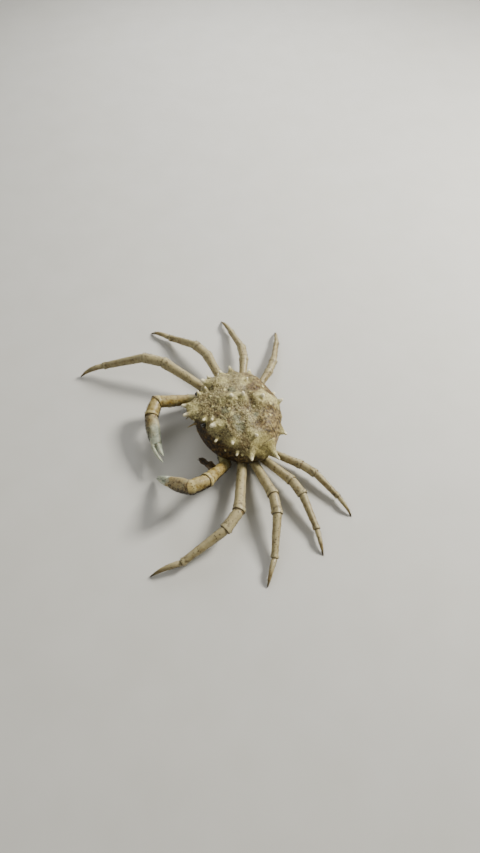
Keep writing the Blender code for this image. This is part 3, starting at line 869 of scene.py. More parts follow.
# ---- shell ----------------------------------------------------------------------------
@dataclass(frozen=True)
class Spine:
    """One of the shell's spines, or a pair, in the body's frame."""

    tip: Place
    length: float
    radius: float
    hub: Place
    foot: float
    lump: float
    blunt: float
    paired: bool = True

    def ends(self) -> list[tuple[Vector, Vector]]:
        """Foot and tip of each spine, in metres."""
        found = []
        for sign in ((1.0, -1.0) if self.paired else (1.0,)):
            tip, hub = STANCE.paired(self.tip, sign), STANCE.paired(self.hub, sign)
            found.append((tip + (hub - tip).normalized() * self.length * MM, tip))
        return found


SHELL_HUB, FRONT_HUB, TOP_HUB = (-14.0, 0.0, -2.0), (16.0, 0.0, -4.0), (-12.0, 0.0, -30.0)
SPINES = (
    Spine((39.6, 4.9, -5.0), 12.0, 3.1, (27.0, 2.6, -3.0), 2.4, 5.4, 1.0),   # snout
    Spine((27.6, 14.6, 2.6), 6.0, 2.1, FRONT_HUB, 2.0, 3.2, 0.6),     # brow
    Spine((22.0, 16.4, 6.2), 4.5, 1.7, FRONT_HUB, 1.0, 2.2, 0.5),     # behind the brow
    Spine((24.6, 22.8, 6.6), 11.0, 3.8, (8.0, 17.0, 4.0), 4.6, 5.6, 1.2),    # cheek
    Spine((19.4, 31.0, -1.4), 7.0, 1.6, (0.0, 6.0, -2.0), 1.4, 2.4, 0.7, False),   # behind it
    Spine((16.4, -32.0, 2.6), 8.0, 2.0, (0.0, -6.0, -2.0), 2.0, 2.8, 0.6, False),
    Spine((8.4, 36.4, 3.8), 7.0, 2.1, (-4.0, 8.0, -4.0), 3.6, 5.2, 0.8, False),    # gill, front
    Spine((5.4, -37.0, 4.8), 8.0, 2.3, (-6.0, -8.0, -4.0), 4.0, 5.4, 0.8, False),
    Spine((3.2, 41.2, -3.6), 5.5, 1.7, SHELL_HUB, 1.2, 2.2, 0.7),     # small, on the margin
    Spine((-6.6, 48.0, 0.0), 12.0, 2.6, SHELL_HUB, 4.6, 4.6, 0.8),    # side
    Spine((-41.8, 21.6, 1.8), 10.0, 2.9, (-22.0, 8.0, 0.0), 5.0, 6.0, 0.9),  # rear
    Spine((-29.6, 46.7, 1.4), 15.0, 2.5, (-10.0, 14.0, 0.0), 7.4, 5.8, 0.6, False),
    Spine((-24.6, -46.6, 0.4), 14.0, 2.8, SHELL_HUB, 6.4, 5.8, 0.8, False),
    Spine((-9.4, 33.0, 12.6), 7.0, 2.0, (-8.0, 22.0, -14.0), 3.4, 5.0, 0.8, False),
    Spine((-11.8, -22.4, 15.6), 7.0, 1.9, (-8.0, -14.0, -14.0), 2.8, 4.4, 0.8, False),
    Spine((8.3, 1.4, 20.0), 7.0, 2.1, TOP_HUB, 2.8, 4.4, 1.0, False),
    Spine((-0.6, 0.4, 22.8), 7.5, 2.3, TOP_HUB, 3.0, 4.8, 1.0, False),
    Spine((-17.4, 1.2, 23.4), 7.5, 2.3, TOP_HUB, 3.2, 6.2, 1.1, False),
    Spine((-36.2, 0.0, 18.8), 10.0, 2.9, (-20.0, 0.0, -6.0), 4.8, 6.0, 0.9, False),
    Spine((-42.0, 0.0, -1.6), 6.0, 2.0, (-20.0, 0.0, 0.0), 1.8, 2.8, 0.8, False),
)


@dataclass
class Shell:
    """The domed shell: regions, grooves, tubercles, spines and eye sockets."""

    around: int = 150
    along: int = 124
    voxel: float = 0.46
    shoulder: float = 6.0              # height over which the relief fades in
    socket_gap: float = 0.4
    scattered: int = 210
    pearly: float = 0.07               # share of the scattered tubercles with a pale top
    seed: int = 11
    # forward, half width, margin, dome height, underside, bulge of the flank, dome's fullness
    sections: tuple[Row, ...] = (
        (35.8, 0.0, -4.6, -4.6, -4.6, 0.0, 0.9), (34.9, 5.2, -4.2, -2.4, -6.6, 0.0, 0.9),
        (31.6, 8.2, -3.0, -0.2, -7.8, 0.0, 0.9), (27.6, 11.8, -1.6, 3.0, -11.6, 0.0, 0.9),
        (23.6, 17.4, -0.6, 6.2, -20.0, 0.8, 0.9), (17.6, 25.6, -0.6, 9.6, -25.0, 2.4, 0.95),
        (10.6, 32.0, -0.8, 12.8, -25.4, 4.0, 1.05), (2.6, 36.6, -1.0, 15.6, -23.0, 4.2, 1.15),
        (-6.2, 40.2, -1.0, 17.2, -20.0, 4.2, 1.25), (-16.0, 41.6, -0.6, 17.4, -16.4, 2.0, 1.3),
        (-25.0, 38.4, 0.0, 16.2, -12.8, 0.4, 1.35), (-31.8, 29.4, 0.0, 13.8, -11.0, 0.0, 1.4),
        (-36.4, 18.0, 0.4, 10.6, -9.6, 0.0, 1.3), (-38.2, 0.0, 0.8, 4.0, -4.0, 0.0, 1.0))
    # swellings and grooves: forward, sideways, height, spread along, spread across
    swellings: tuple[Row, ...] = (
        (10.5, 0.0, 2.6, 5.0, 6.5), (-2.0, 0.0, 1.2, 5.0, 7.0), (-17.5, 0.0, 1.6, 5.5, 6.0),
        (-31.0, 0.0, 1.6, 4.0, 7.0), (-9.5, 0.0, -1.3, 2.6, 10.0), (-14.0, 22.0, 1.8, 8.0, 8.0),
        (-25.0, 22.0, 1.0, 6.0, 7.0), (4.0, 24.0, 1.4, 5.0, 5.0), (13.0, 14.5, -1.3, 4.0, 3.0),
        (-10.0, 11.5, -1.5, 9.0, 3.0))
    # finer relief: the same columns
    folds: tuple[Row, ...] = (
        (12.0, 0.0, 1.2, 5.0, 2.2), (3.0, 0.0, 1.5, 5.0, 2.2), (9.0, 7.5, -1.3, 6.0, 2.2),
        (-4.6, 8.0, -1.6, 2.6, 3.2), (-8.6, 1.0, -2.4, 1.5, 5.0), (-17.0, 0.0, 0.9, 4.5, 4.5),
        (-25.0, 0.0, 1.1, 6.0, 5.5), (-17.0, 10.5, -1.3, 6.0, 2.2), (2.7, 17.6, -1.4, 3.0, 2.4),
        (1.0, 25.0, -1.5, 2.8, 2.8), (0.0, 30.0, -0.8, 2.6, 2.6), (-13.0, 20.5, -2.8, 3.0, 3.0),
        (-3.5, 24.0, 0.9, 2.2, 2.6), (-8.4, 30.0, 1.1, 3.0, 3.0), (-22.0, 25.0, 1.0, 4.0, 3.0),
        (-20.0, 14.5, 0.8, 3.0, 2.2), (13.0, 24.5, 1.5, 4.0, 2.2), (8.6, 29.0, 1.2, 2.6, 2.4),
        (20.0, 13.0, -1.1, 3.0, 2.6), (25.0, 4.0, -0.6, 4.0, 1.6), (-33.5, 16.0, 0.8, 2.6, 3.6),
        (-19.0, 33.0, 0.6, 5.0, 4.0), (9.6, 15.0, 0.9, 2.6, 2.2), (-2.0, 12.5, 0.7, 2.6, 2.0),
        (-29.0, 9.0, -0.9, 3.0, 1.8), (6.0, 22.0, 0.7, 2.4, 2.0))
    # named tubercles: forward, sideways, height, radius, rise
    tubercles: tuple[Row, ...] = (
        (16.6, 27.2, -5.4, 1.3, 1.1), (2.7, 40.0, -6.0, 1.2, 1.0), (-23.4, 14.3, 14.8, 1.3, 0.9),
        (-6.4, 8.6, 15.9, 1.2, 0.7), (-31.4, 15.3, 13.9, 1.2, 0.7), (-22.9, 12.8, 16.8, 1.5, 0.8),
        (-7.6, 16.3, 16.8, 1.4, 0.7), (-3.9, 29.8, 12.8, 1.4, 0.7), (13.2, 2.6, 11.7, 1.2, 0.6),
        (3.4, 2.4, 16.9, 1.3, 0.5), (7.3, 28.9, 4.2, 1.4, 0.6), (-10.5, 7.6, 16.1, 1.2, 0.6),
        (-24.5, 4.5, 17.0, 1.3, 0.6), (-17.0, 26.0, 17.0, 1.3, 0.6), (-33.0, 31.0, 3.0, 1.2, 0.7),
        (20.0, 5.0, 8.0, 1.0, 0.5), (9.0, 9.5, 12.6, 1.2, 0.5), (1.0, 13.0, 16.0, 1.1, 0.5),
        (-16.5, 40.5, 6.0, 1.3, 0.8), (8.0, 32.0, -11.0, 1.1, 0.7), (8.0, 36.5, -7.4, 1.1, 0.8),
        (-2.0, 40.0, -3.5, 1.1, 0.7))
    # patches of colour on the back: forward, sideways, size, share
    rust: tuple[Row, ...] = (
        (4.5, 32.5, 5.0, 1.0), (-1.9, 35.0, 4.6, 1.0), (12.5, 19.0, 4.2, 1.0),
        (24.8, 10.8, 3.4, 1.0), (-13.0, 22.6, 4.2, 1.0), (-19.5, 23.0, 4.0, 1.0),
        (17.7, 12.0, 3.6, 1.0), (-10.0, 2.0, 4.0, 1.0), (-5.4, 7.0, 3.4, 1.0),
        (-15.0, -15.0, 8.0, 1.0), (21.8, 18.2, 2.6, 1.0), (6.0, -31.0, 5.0, 1.0),
        (-24.0, -26.0, 6.0, 1.0), (-34.0, -14.0, 6.0, 1.0))
    slate: tuple[Row, ...] = (
        (2.7, 24.5, 5.0, 0.7), (4.5, 17.4, 4.0, 0.7), (11.7, 10.3, 3.6, 0.7),
        (13.7, 17.7, 2.6, 0.7), (4.0, -9.0, 4.5, 0.7), (-12.0, 14.0, 3.0, 0.7))
    cream: tuple[Row, ...] = (
        (-25.0, -1.5, 7.0, 1.0), (-17.0, -0.5, 4.6, 1.0), (-21.5, -8.0, 4.6, 1.0),
        (-1.0, -0.7, 3.6, 0.9), (8.0, 1.0, 3.8, 0.9), (3.6, 0.2, 3.0, 0.8), (13.7, 3.0, 2.8, 0.8),
        (8.0, -20.9, 5.0, 0.8), (16.3, 22.5, 3.4, 0.9), (-10.0, 31.0, 3.4, 0.8),
        (-4.9, 28.1, 3.0, 0.7), (-7.4, -16.3, 3.6, 0.8), (34.0, 1.4, 7.0, 1.0),
        (7.6, 13.8, 2.4, 0.6))

    def swell(self, bm: BMesh) -> None:
        """Raises the shell's regions and sinks its grooves."""
        upper = [vert for vert in bm.verts if vert.co.z > 0.0]
        x, y, z = np.array([vert.co[:] for vert in upper]).T / MM
        lift = sum(height * bell(np.hypot((-y - at) / long, (np.abs(x) - out) / cross))
                   for at, out, height, long, cross in self.swellings + self.folds)
        for vert, rise in zip(upper, lift * np.minimum(z / self.shoulder, 1.0)):
            vert.co.z += rise * MM

    def blank(self) -> Object:
        """The shell's body with its spines and sockets, as one even skin."""
        bm = body_blank(self.sections, self.around, self.along, shell_place)
        self.swell(bm)
        trim(bm, *edge_plane())
        shell = new_object("carapace_plate", bm)
        sockets = bmesh.new()
        for sensor in (EYE, FEELER):
            for side in Side:
                join(sockets, sensor.blank(side, self.socket_gap))
        cutter = new_object("sockets", sockets)
        modifier = shell.modifiers.new("sockets", "BOOLEAN")
        modifier.operation, modifier.solver, modifier.object = "DIFFERENCE", "EXACT", cutter
        settle(shell)
        bpy.data.objects.remove(cutter)
        bm = bmesh.new()
        bm.from_mesh(shell.data)
        for spine in SPINES:
            bend = UP * (0.035 * spine.length * MM)
            for foot, tip in spine.ends():
                reach = (tip - foot).normalized() * 0.5 * MM
                join(bm, thorn(foot, tip + reach, spine.radius * MM, spine.blunt * MM,
                               spine.foot * MM, bend))
        bm.transform(STANCE.matrix())
        bm.to_mesh(shell.data)
        bm.free()
        return remeshed(shell, self.voxel)

    def spots(self, points: Array) -> list[tuple[Array, float, float, bool]]:
        """Places, radii and rises of the tubercles, named ones first.

        Args:
            points: The skin's points in the body's terms.

        Returns:
            Place, radius, rise and whether it is pearly, for each.
        """
        found = [(np.array((forward, sideways * side.sign, height)), radius, rise, True)
                 for forward, sideways, height, radius, rise in self.tubercles for side in Side]
        chooser = random.Random(self.seed)
        upper = np.flatnonzero((points[:, 2] > -9.0) & (points[:, 0] > -39.0))
        for _ in range(self.scattered):
            place = points[upper[chooser.randrange(len(upper))]]
            front = float(ramp_between(place[0], -30.0, 10.0))
            radius = chooser.uniform(0.55, 1.05)
            rise = radius * chooser.uniform(0.28, 0.5) * (0.6 + 0.4 * front)
            found.append((place, radius, rise, chooser.random() < self.pearly))
        return found

    @staticmethod
    def near_spines(places: Array) -> tuple[Array, ...]:
        """What the spines do to the skin round them.

        Args:
            places: The skin's points in the body's terms.

        Returns:
            Masks of the tips, the lumps under the spines and the flared feet, and the rise of
            the mounds in millimetres.
        """
        tip, lump, feet, mound = np.zeros((4, len(places)))
        for spine in SPINES:
            reach = 0.62 * spine.lump
            for ends in spine.ends():
                foot, end = (STANCE.terms(point) for point in ends)
                length = np.linalg.norm(end - foot)
                axis = (end - foot) / length
                along = (places - foot) @ axis
                off = np.linalg.norm(places - foot - np.outer(along, axis), axis=1)
                share = np.clip(along / length, 0.0, 1.0)
                rim = off - thorn_girth(share, spine.radius, spine.blunt, spine.foot, 1.0)
                near = ramp_between(rim, 0.75, 0.25)
                tip = np.maximum(tip, near * ramp_between(share, 0.6, 0.92))
                feet = np.maximum(feet, bell(rim, 1.8) * ramp_between(share, 0.6, 0.2))
                away = np.linalg.norm(places - (foot + axis * length * 0.6), axis=1)
                lump = np.maximum(lump, bell(away, reach))
                mound = np.maximum(mound, bell(off, reach) * 0.24 * spine.lump
                                   * ramp_between(along, 0.8 * length, 0.0))
        return tip, lump, feet, mound

    def build(self, material: Material) -> Object:
        """Models and dresses the shell."""
        shell = self.blank()
        skin = Surface(shell.data)
        tip, lump, feet, mound = self.near_spines(STANCE.measures(skin.points))
        skin.smooth(2, 0.5 * (1.0 - 0.9 * tip))
        skin.smooth(8, 0.5 * feet * (1.0 - tip))
        skin.push(mound * (1.0 - tip))
        skin.smooth(2, 0.5 * (1.0 - tip))

        places = STANCE.measures(skin.points)
        relief = 0.42 * grain(places, 7.0, 3, 2.0) + 0.26 * grain(places, 2.6, 2, 9.0)
        crest = np.zeros(skin.count)
        for place, radius, rise, pearly in self.spots(places):
            away = np.linalg.norm(places - place, axis=1) / radius
            dome = np.clip(1.0 - (away / 1.5) ** 2, 0.0, 1.0) ** 1.5
            relief += rise * dome
            if pearly:
                crest = np.maximum(crest, ramp_between(dome, 0.25, 0.75))
        front = ramp_between(places[:, 0], -26.0, 6.0)
        relief += beads(places, 1.35, 0.62, 3.0) * (0.1 + 0.12 * front)
        relief -= 0.4 * beads(places, 3.1, 0.35, 8.0)
        relief *= 1.0 - 0.55 * self.golden_zone(places)
        relief[places[:, 2] < edge_height(places[:, 0]) + 0.7] = 0.0
        skin.push(relief * (1.0 - tip))
        self.paint(skin, places, tip, lump, crest)
        skin.store()
        return dress(shell, "shell", [material], ["carapace"])

    @staticmethod
    def golden_zone(places: Array) -> Array:
        """Where the shell is smooth and golden, towards its rear corners."""
        left = np.hypot((places[:, 0] + 17.0) / 12.0, (places[:, 1] - 36.5) / 8.0)
        right = np.hypot((places[:, 0] + 27.0) / 7.0, (places[:, 1] + 30.0) / 8.0)
        return np.maximum(ramp_between(left, 1.15, 0.55), 0.6 * ramp_between(right, 1.2, 0.5))

    def paint(self, skin: Surface, places: Array, tip: Array, lump: Array,
              crest: Array) -> None:
        """Stores the masks that the shell's material reads.

        Args:
            skin: The shell's points.
            places: The same points in the body's terms.
            tip: Spine tips.
            lump: Swellings at the spines' feet.
            crest: Tops of pearly tubercles.
        """
        forward, sideways, height = places.T
        wide = grain(places, 8.0, 3, 21.0)
        narrow = grain(places, 3.0, 2, 33.0)

        def patches(rows: Sequence[Row]) -> Array:
            """Soft round patches on the back."""
            found = [share * ramp_between(np.hypot(forward - at, sideways - out) / size
                                          + 0.35 * narrow, 1.1, 0.5)
                     for at, out, size, share in rows]
            return np.maximum.reduce(found) * (height > -4.0)

        above = ramp_between(height + 1.6 * wide, -4.6, -0.8)
        silt = above * ramp_between(forward + 7.0 * wide, -22.0, -4.0)
        golden = self.golden_zone(places) * above
        # the underside below the margin: dark fuzz, darkened further as painted shade, most
        # towards the front
        flank = (1.0 - above) * (0.55 + 0.45 * ramp_between(forward, -34.0, -10.0))
        flank *= 1.0 - 0.45 * bell(np.hypot((forward + 2.0) / 9.0, (height + 4.0) / 3.5))
        rust = patches(self.rust) * 0.75 * ramp_between(narrow, -0.5, 0.3)
        broad = skin.hollow(70, 1.3)
        cream = np.maximum(patches(self.cream), 0.5 * ramp_between(-broad, 0.15, 0.7) * above)
        lump = np.clip(np.maximum(1.15 * lump, cream) * (0.9 + 0.6 * narrow), 0.0, 0.9)
        # painted shade: darkens the shell's dents and grooves
        hollow = np.maximum(0.95 * ramp_between(skin.hollow(12, 0.42), 0.08, 0.7),
                            0.55 * ramp_between(broad + 0.25 * narrow, 0.15, 0.85))
        hollow *= 1.0 - 0.8 * tip
        skin.paint("wear", tip, lump * (1.0 - 0.5 * flank), hollow)
        skin.paint("zone", silt * (1.0 - 0.4 * golden), golden, flank * (1.0 - 0.8 * lump))
        skin.paint("patch", rust * above, patches(self.slate) * above, crest * (1.0 - hollow))


# ---- eyes and feelers -----------------------------------------------------------------
@dataclass(frozen=True)
class Sensor:
    """An eye or a feeler: a stalk of round sections along its axis."""

    kind: str
    root: Place
    aim: Place
    sections: tuple[Row, ...]

    def matrix(self, side: Side) -> Matrix:
        """Frame along the stalk, in the body's frame."""
        start = STANCE.paired(self.root, side.sign)
        return frame_along(start, STANCE.paired(self.aim, side.sign) - start, UP)

    def blank(self, side: Side, extra: float) -> BMesh:
        """The stalk in the body's frame, made thicker all over by extra millimetres."""
        rows = round_rows((along, radius + extra) for along, radius in self.sections)
        rows[0] = (rows[0][0] - extra, *rows[0][1:])
        rows.append((rows[-1][0] + extra, *rows[-1][1:]))
        bm = tube_blank(rows, 20, 26)
        bm.transform(self.matrix(side))
        return bm

    def build(self, side: Side,
              shape: Callable[[float, float], float] | None = None) -> tuple[Object, Surface]:
        """The fine stalk in the world, and its points."""
        bm = tube_blank(round_rows(self.sections), 28, 64, shape)
        bm.transform(STANCE.matrix() @ self.matrix(side))
        obj = new_object(f"{self.kind}_{side.value}_plate", bm)
        return obj, Surface(obj.data)


EYE = Sensor("eye", (24.4, 11.8, -2.4), (26.6, 17.2, -1.6),
             ((0.0, 1.1), (2.0, 1.2), (3.1, 1.75), (4.3, 1.95), (5.2, 1.5), (5.7, 0.6)))
FEELER = Sensor("antenna", (26.2, 6.0, -10.6), (31.6, 4.0, -20.6),
                ((0.0, 1.3), (3.0, 1.2), (3.6, 0.8), (7.0, 0.55), (11.0, 0.36)))


@dataclass
class Head:
    """Eyes, feelers and the pair of mouth plates."""

    plate: Place = (6.6, 8.6, 2.2)     # width, length and thickness of a mouth plate
    place: tuple[float, float] = (19.4, 3.7)
    cornea_start: float = 2.7
    whip_start: float = 3.4
    whip_pitch: float = 0.62

    def eye(self, side: Side, eye: Material, stalk: Material) -> None:
        """One stalked eye with a glossy dark end."""
        obj, skin = EYE.build(side)
        skin.paint("wear")
        skin.paint("zone")
        dress(obj, "eye", [stalk, eye], [f"eye_{side.value}"])
        inverse = (STANCE.matrix() @ EYE.matrix(side)).inverted()
        for face in obj.data.polygons:
            face.material_index = int((inverse @ face.center).z > self.cornea_start * MM)

    def feeler(self, side: Side, material: Material) -> None:
        """One feeler with thick base joints and a ringed whip."""
        def rings(along: float, _turn: float) -> float:
            """Ring-like swellings, coarser at the base."""
            pitch, depth = (1.5, 0.08) if along < self.whip_start else (self.whip_pitch, 0.05)
            return depth * math.cos(math.tau * along / pitch)

        obj, skin = FEELER.build(side, rings)
        along = within(STANCE.matrix() @ FEELER.matrix(side), skin.points)[:, 2]
        # painted shade in the whip's ring furrows
        furrow = np.cos(math.tau * along / self.whip_pitch) < -0.6
        skin.paint("wear", ramp_between(along, 7.0, 11.0) * 0.6, 0.0, furrow * 0.5)
        skin.paint("zone")
        dress(obj, "feeler", [material], [f"antenna_{side.value}"])

    def mouth(self, side: Side, material: Material) -> None:
        """One outer mouth plate of two articles with a groove between them."""
        wide, long, thick = self.plate
        bm = bmesh.new()
        bmesh.ops.create_cube(bm, size=1.0)
        bmesh.ops.subdivide_edges(bm, edges=bm.edges[:], cuts=23, use_grid_fill=True)
        for vert in bm.verts:
            x, y, z = vert.co * 2.0
            corner = 1.0 - 0.1 * (abs(x) ** 4 + abs(y) ** 4)
            taper = 1.0 - 0.12 * max(0.0, -y)
            crown = 1.0 - 0.34 * max(abs(x) ** 3, abs(y) ** 3)
            seam = bell(y + 0.18 - 0.12 * x, 0.06)
            furrow = bell(x * side.sign + 0.35, 0.14) * (y > -0.1)
            down = crown - 0.2 * seam - 0.1 * furrow if z < 0.0 else crown
            vert.co = Vector((x * corner * taper * wide, y * corner * long,
                              z * down * thick)) * (0.5 * MM)
        forward, sideways = self.place
        where = STANCE.point(forward, sideways * side.sign, edge_height(forward))
        where += edge_plane()[1] * ((0.5 * thick + 0.3) * MM)
        tilt = Matrix.Rotation(math.atan(SHELL_EDGE_SLOPE), 4, "X")
        bm.transform(STANCE.matrix() @ Matrix.Translation(where) @ tilt)
        obj = new_object(f"maxilliped_{side.value}_plate", bm)
        skin = Surface(obj.data)
        # the third mask is painted shade in the plate's dents
        skin.paint("wear", 0.0, ramp_between(-skin.hollow(8, 0.25), 0.1, 0.9),
                   ramp_between(skin.hollow(8, 0.2), 0.15, 0.8))
        skin.paint("zone")
        dress(obj, "belly", [material], [f"maxilliped_{side.value}"])

    def build(self, stalk: Material, belly: Material) -> None:
        """Models and dresses both sides."""
        cornea = eye_material()
        for side in Side:
            self.eye(side, cornea, stalk)
            self.feeler(side, stalk)
            self.mouth(side, belly)


# ---- limbs ----------------------------------------------------------------------------
class Rim(Enum):
    """How a segment's end is made: width of its bevel and where it starts, in millimetres."""

    NECK = (0.7, -0.5)
    CUP = (0.28, -0.35)


@dataclass(frozen=True)
class Cut:
    """A plane that ends a segment, in its own frame."""

    point: Vector
    outward: Vector
    rim: Rim


@dataclass(frozen=True)
class Chain:
    """One limb's joints and segments' directions in the world, from the chest outwards."""

    joints: list[Vector]
    directions: list[Vector]
    stub: Vector

    def matrix(self, index: int, upward: Vector = UP) -> Matrix:
        """Frame of a segment."""
        return frame_along(self.joints[index], self.directions[index], upward)

    def halfway(self, index: int) -> Vector:
        """Direction halfway through a joint's bend."""
        before = self.directions[index - 1] if index else self.stub
        return (before + self.directions[index]).normalized()

    def cut(self, matrix: Matrix, index: int, keep: float) -> Cut:
        """The plane that halves a joint's bend.

        Args:
            matrix: Frame of the segment.
            index: Number of the joint.
            keep: 1 for the segment beyond the joint and -1 for the one before it.

        Returns:
            The cut in the segment's frame.
        """
        inverse, halfway = matrix.inverted(), self.halfway(index)
        point = inverse @ (self.joints[index] + halfway * keep * JOINT_GAP * 0.5 * MM)
        outward = (inverse.to_3x3() @ halfway) * -keep
        return Cut(point, outward, Rim.NECK if keep > 0 else Rim.CUP)

    def skins(self, name: str, slot: str, radii: Sequence[float], material: Material) -> None:
        """The soft skins in the limb's joints, joined in one piece.

        Args:
            name: Piece name.
            slot: Name of a material slot.
            radii: Radius of each skin in millimetres.
            material: Their material.
        """
        sleeve = ((-1.6, 0.9), (-0.8, 1.0), (0.0, 0.93), (0.8, 1.0), (1.6, 0.9))
        bm = bmesh.new()
        for index, radius in enumerate(radii):
            skin = tube_blank(round_rows((at, radius * share) for at, share in sleeve), 26, 18)
            skin.transform(frame_along(self.joints[index], self.halfway(index), UP))
            join(bm, skin)
        dress(new_object(name, bm), slot, [material])


@dataclass(frozen=True)
class LimbPlan:
    """Root, lengths and pose of one kind of limb; lengths run from the ischium outwards."""

    name: str
    number: int
    root: tuple[float, float, float, float]
    lengths: tuple[float, ...]
    girth: float
    left: tuple[tuple[float, float | None], ...]
    right: tuple[tuple[float, float | None], ...]
    ankles: tuple[float, float] = (4.6, 4.6)

    def chain(self, side: Side) -> Chain:
        """Joints and directions on one side; a rise of None lands the segment's end."""
        which = 0 if side is Side.LEFT else 1
        joints = [STANCE.matrix() @ STANCE.paired(self.root, side.sign)]
        directions = []
        landings = [self.ankles[which], 0.5 * TIP_RADIUS]
        for length, (outward, rise) in zip(self.lengths, (self.left, self.right)[which]):
            if rise is None:
                drop = joints[-1].z / MM - landings.pop(0)
                rise = -math.degrees(math.asin(drop / length))
            directions.append(heading(side.sign, outward, rise))
            joints.append(joints[-1] + directions[-1] * length * MM)
        stub = heading(side.sign, 78.0 + 8.0 * self.number, 0.0) + UP * 0.06
        return Chain(joints, directions, stub.normalized())


TIP_RADIUS = 0.35
CLAW = LimbPlan("cheliped", 0, (6.4, 22.0, -21.4, 3.9), (15.0, 32.0, 13.6, 27.0, 17.0), 1.0,
                ((95, -2), (50.5, 29), (19.6, 9), (-50.4, -34.0)),
                ((30, 7), (-4.8, 12.6), (-64.8, -7.8), (-92.0, -4.5)))
LEGS = (
    LimbPlan("leg1", 1, (-3.4, 25.0, -19.4, 3.6), (12.0, 49.0, 17.5, 38.0, 24.0), 1.0,
             ((115, -3), (75.8, 9.2), (45, -4), (24, None), (8, None)),
             ((54, 6), (40, 16), (27, 0), (14, None), (3, None)), (6.0, 11.0)),
    LimbPlan("leg2", 2, (-10.8, 25.5, -17.4, 3.4), (10.0, 41.0, 15.6, 32.0, 21.0), 0.93,
             ((121, -6), (102, 10.6), (88, -3), (74, None), (64, None)),
             ((86, -4), (73, 11.2), (60, -3), (48, None), (40, None))),
    LimbPlan("leg3", 3, (-17.4, 24.0, -15.8, 3.1), (9.0, 36.0, 14.0, 28.0, 19.0), 0.85,
             ((124, -5), (122, 7), (111, -2), (99, None), (90, None)),
             ((112, -4), (104, 8.8), (92, -3), (80, None), (72, None))),
    LimbPlan("leg4", 4, (-23.4, 20.5, -14.4, 2.8), (8.0, 32.0, 13.0, 25.0, 17.0), 0.77,
             ((127, -3), (140, 3.6), (131, 0), (120, None), (111, None)),
             ((125, -3), (130, 4.6), (119, 0), (109, None), (100, None))),
)

# oval sections of the segments: share of length, height radius, width radius
LEG_SECTIONS = {
    "ischium": ((0.0, 3.5, 3.3), (0.45, 3.5, 3.3), (0.85, 4.0, 3.8), (1.0, 4.1, 3.9)),
    "merus": ((0.0, 3.7, 3.5), (0.06, 3.9, 3.6), (0.4, 4.1, 3.8), (0.78, 4.4, 4.1),
              (0.93, 4.9, 4.5), (1.0, 4.7, 4.3)),
    "carpus": ((0.0, 4.2, 3.9), (0.16, 4.4, 4.1), (0.55, 4.4, 4.2), (0.86, 4.6, 4.3),
               (1.0, 4.3, 4.0)),
    "propodus": ((0.0, 3.8, 3.5), (0.06, 3.9, 3.5), (0.4, 3.6, 3.2), (0.8, 3.2, 2.8),
                 (0.94, 3.2, 2.8), (1.0, 3.0, 2.7)),
    "dactyl": ((0.0, 2.7, 2.4), (0.35, 2.3, 2.0), (0.7, 1.5, 1.3), (0.9, 0.8, 0.7),
               (1.0, TIP_RADIUS, TIP_RADIUS)),
}
CLAW_SECTIONS = {
    "ischium": ((0.0, 3.6, 3.6), (0.5, 3.9, 3.7), (1.0, 4.4, 4.2)),
    "merus": ((0.0, 3.8, 3.6), (0.08, 4.3, 4.1), (0.5, 4.7, 4.4), (0.85, 5.2, 5.0),
              (0.94, 5.5, 5.2), (1.0, 5.0, 4.8)),
    "carpus": ((0.0, 4.7, 4.5), (0.2, 5.1, 4.9), (0.55, 5.5, 5.2), (0.85, 5.4, 5.1),
               (1.0, 4.9, 4.6)),
    "palm": ((0.0, 4.7, 4.1), (0.12, 5.2, 4.4), (0.45, 5.5, 4.4), (0.8, 4.6, 3.7),
             (1.0, 4.2, 3.2)),
}


@dataclass(frozen=True)
class Details:
    """Relief of a segment's plate, in millimetres."""

    collar: float = 0.0
    neck: float = 0.3
    knuckle: float = 0.0
    unevenness: float = 0.16
    granule: float = 0.08
    keel: float = 0.0

    def relief(self, length: float) -> Callable[[float, float], float]:
        """Extra radius for tube_blank over a segment of a length."""
        def extra(along: float, turn: float) -> float:
            """Neck, collar, knuckles and keel at one point."""
            rest = length - along
            value = -self.neck * max(0.0, 1.0 - max(along, 0.0) / 2.2) ** 2
            value += self.collar * bell(rest - 1.4, 0.75)
            value -= 0.5 * self.collar * bell(rest - 3.6, 0.8)
            for pole in (math.pi / 2, -math.pi / 2):
                away = math.remainder(turn - pole, math.tau) / 0.34
                value += self.knuckle * bell(math.hypot(away, (rest - 1.5) / 1.1))
            return value + self.keel * max(0.0, math.cos(turn)) ** 6
        return extra


